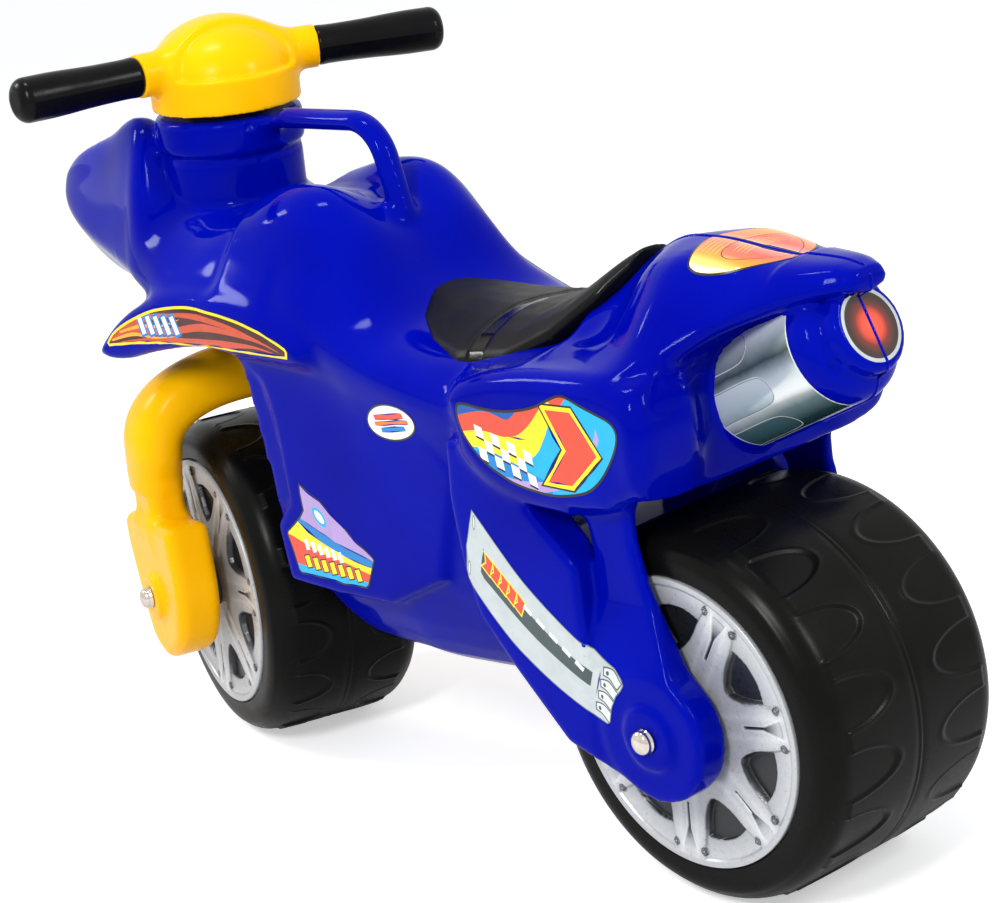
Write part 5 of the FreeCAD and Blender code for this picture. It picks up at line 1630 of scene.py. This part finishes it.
def makeLamp(sideName, side):
    outline = lampSticker["outline"]
    heart = curved([(-17, 1), (-19, 12), (-23, 21), (-29, 24.5), (-38, 21), (-48, 12), (-54, 1)], 5, False)
    layers = [("black", inset(heart, -0.6)), ("lampHeart", heart)]
    for index in range(5):
        x = -3.5 - 2.9 * index
        layers.append(("amber", ribbon([(x + 1.6, 0), (x - 2.2, 14), (x - 7.0, 27)], [0.5, 0.9, 0.6])))
    for index in range(4):
        x = -22 - 2.6 * index
        layers.append(("amber", ribbon([(x + 1.0, 0), (x - 1.0, 8), (x - 3.6, 15)], [0.5, 0.8, 0.4])))
    # the film's own map runs from its outer edge in to the seam
    piece = makeSticker("lampSticker" + sideName, "black", "lampField", outline, 1.1, layers, fromAbove(side), 1.8)
    layer = piece.data.uv_layers[0]
    low, high = 1.2, 38.2
    for loop in piece.data.loops:
        plain = (piece.data.vertices[loop.vertex_index].co - origin) / mm
        layer.data[loop.index].uv = (1 - (abs(plain.y) - low) / (high - low), 1 - abs(plain.y) / 24 * 0.8)


for sideName, side in sides:
    makeLamp(sideName, side)

barrelTilt = math.radians(barrelSet["tilt"])
barrelAxis = Vector((-math.cos(barrelTilt), 0, math.sin(barrelTilt)))
barrelFace = at(barrelSet["faceX"], 0, barrelSet["faceZ"])
barrelUp = Vector((math.sin(barrelTilt), 0, math.cos(barrelTilt)))


def roundBarrel(side):
    # u runs along the tube from its face, v round it from the top, in mm
    def place(u, v):
        angle = v / barrelSet["radius"]
        out = barrelUp * math.cos(angle) + Vector((0, 1, 0)) * side * math.sin(angle)
        return barrelFace - barrelAxis * u * mm + out * (barrelSet["radius"] + barrelSet["filmLift"]) * mm, -out
    return place


def edgeSteps(corners, counts):
    # points along a closed outline's sides, so that the film's edge bends round the tube
    made = []
    for k, count in enumerate(counts):
        (u, v), (uNext, vNext) = corners[k], corners[(k + 1) % len(corners)]
        made += [(u + (uNext - u) * step / count, v + (vNext - v) * step / count) for step in range(count)]
    return made


def makeBarrel():
    near, far, top, foot = (barrelSet[key] for key in ("from", "to", "top", "foot"))
    outline = edgeSteps([(near, top), (near, foot), (far, foot), (far, top)], [24, 16, 24, 16])
    layers = []
    for u, v in ((58, 34), (50, 60), (56, 84)):
        shape = curved([(u, v), (u + 3, v - 6), (u + 12, v - 8), (u + 34, v - 8), (u + 52, v - 7),
                        (u + 52, v + 7),
                        (u + 34, v + 8), (u + 12, v + 8), (u + 3, v + 6)], 4)
        layers += [("pale", inset(shape, -0.9)), ("slate", inset(shape, -0.3)), ("ovalChrome", shape)]
    for sideName, side in sides:
        makeSticker("barrelWrap" + sideName, "pale", "tubeChrome", outline, 0.9, layers, roundBarrel(side), 2.4,
                    reach=0)

    def onFace(u, v):
        spot = barrelFace + Vector((0, 1, 0)) * u * mm + barrelUp * v * mm
        return spot + barrelAxis * 4 * mm, -barrelAxis
    outline, glow = (disc(0, 0, barrelSet["glow"] - edge, None, 48) for edge in (0, barrelSet["glowEdge"]))
    makeSticker("barrelGlow", "silver", "silver", outline, 0.4, [("tailGlow", glow)], onFace, 1.8, 0.2)


makeBarrel()
print("tail stickers laid")

# moulding seam over the tail and the barrel
seamSet = {"halfWidth": 1.1, "height": 0.9}


def makeBead(name, line, body):
    # a low rounded bead on the surface, along points in the middle plane
    shape = [(-1.0, -0.6), (-0.72, 0.55), (0.0, 0.9), (0.72, 0.55), (1.0, -0.6)]
    points, faces = [], []
    for index, (spot, normal) in enumerate(line):
        for across, up in shape:
            aside = Vector((0, across * seamSet["halfWidth"] * mm, 0))
            points.append(spot + aside + normal * up * seamSet["height"] * mm)
        if index:
            a, b = (index - 1) * 5, index * 5
            for k in range(4):
                faces.append((a + k, b + k, b + k + 1, a + k + 1))
    faces.append((0, 1, 2, 3, 4))
    last = (len(line) - 1) * 5
    faces.append((last + 4, last + 3, last + 2, last + 1, last))
    mesh = bpy.data.meshes.new(name)
    mesh.from_pydata(points, [], faces)
    work = bmesh.new()
    work.from_mesh(mesh)
    bmesh.ops.recalc_face_normals(work, faces=work.faces)
    work.to_mesh(mesh)
    work.free()
    smoothFaces(mesh)
    return addPiece(name, mesh, body, bluePlastic)


def chained(rays, gap):
    # runs of hits on the shell, broken where a ray misses or lands more than the gap from the last
    lines = [[]]
    for start, way in rays:
        spot, normal, _, _ = bodyTree.ray_cast(start, way)
        if spot is None or (lines[-1] and (spot - lines[-1][-1][0]).length > gap * mm):
            lines.append([])
        if spot is not None:
            lines[-1].append((spot, Vector((normal.x, 0, normal.z)).normalized()))
    return [line for line in lines if len(line) > 3]


def makeSeam():
    # rays in the bike's middle plane: over the tail and up its end, then down the barrel's face and along under it
    top = [(at(56 - 2.0 * k, 0, 430), Vector((0, 0, -1))) for k in range(78)]
    top += [(at(-160, 0, 350 - 2.0 * k), Vector((1, 0, 0))) for k in range(6, 12)]
    under = [(barrelFace + barrelAxis * 40 * mm + barrelUp * (-k) * mm, -barrelAxis) for k in range(-20, 26)]
    under += [(barrelFace - barrelAxis * ((k - 24) * 2.0) * mm - barrelUp * 60 * mm, barrelUp) for k in range(26, 72)]
    for index, line in enumerate(chained(top, 9) + chained(under, 14)):
        makeBead("tailSeam%d" % (index + 1), line, "frame")


makeSeam()
print("seam laid")
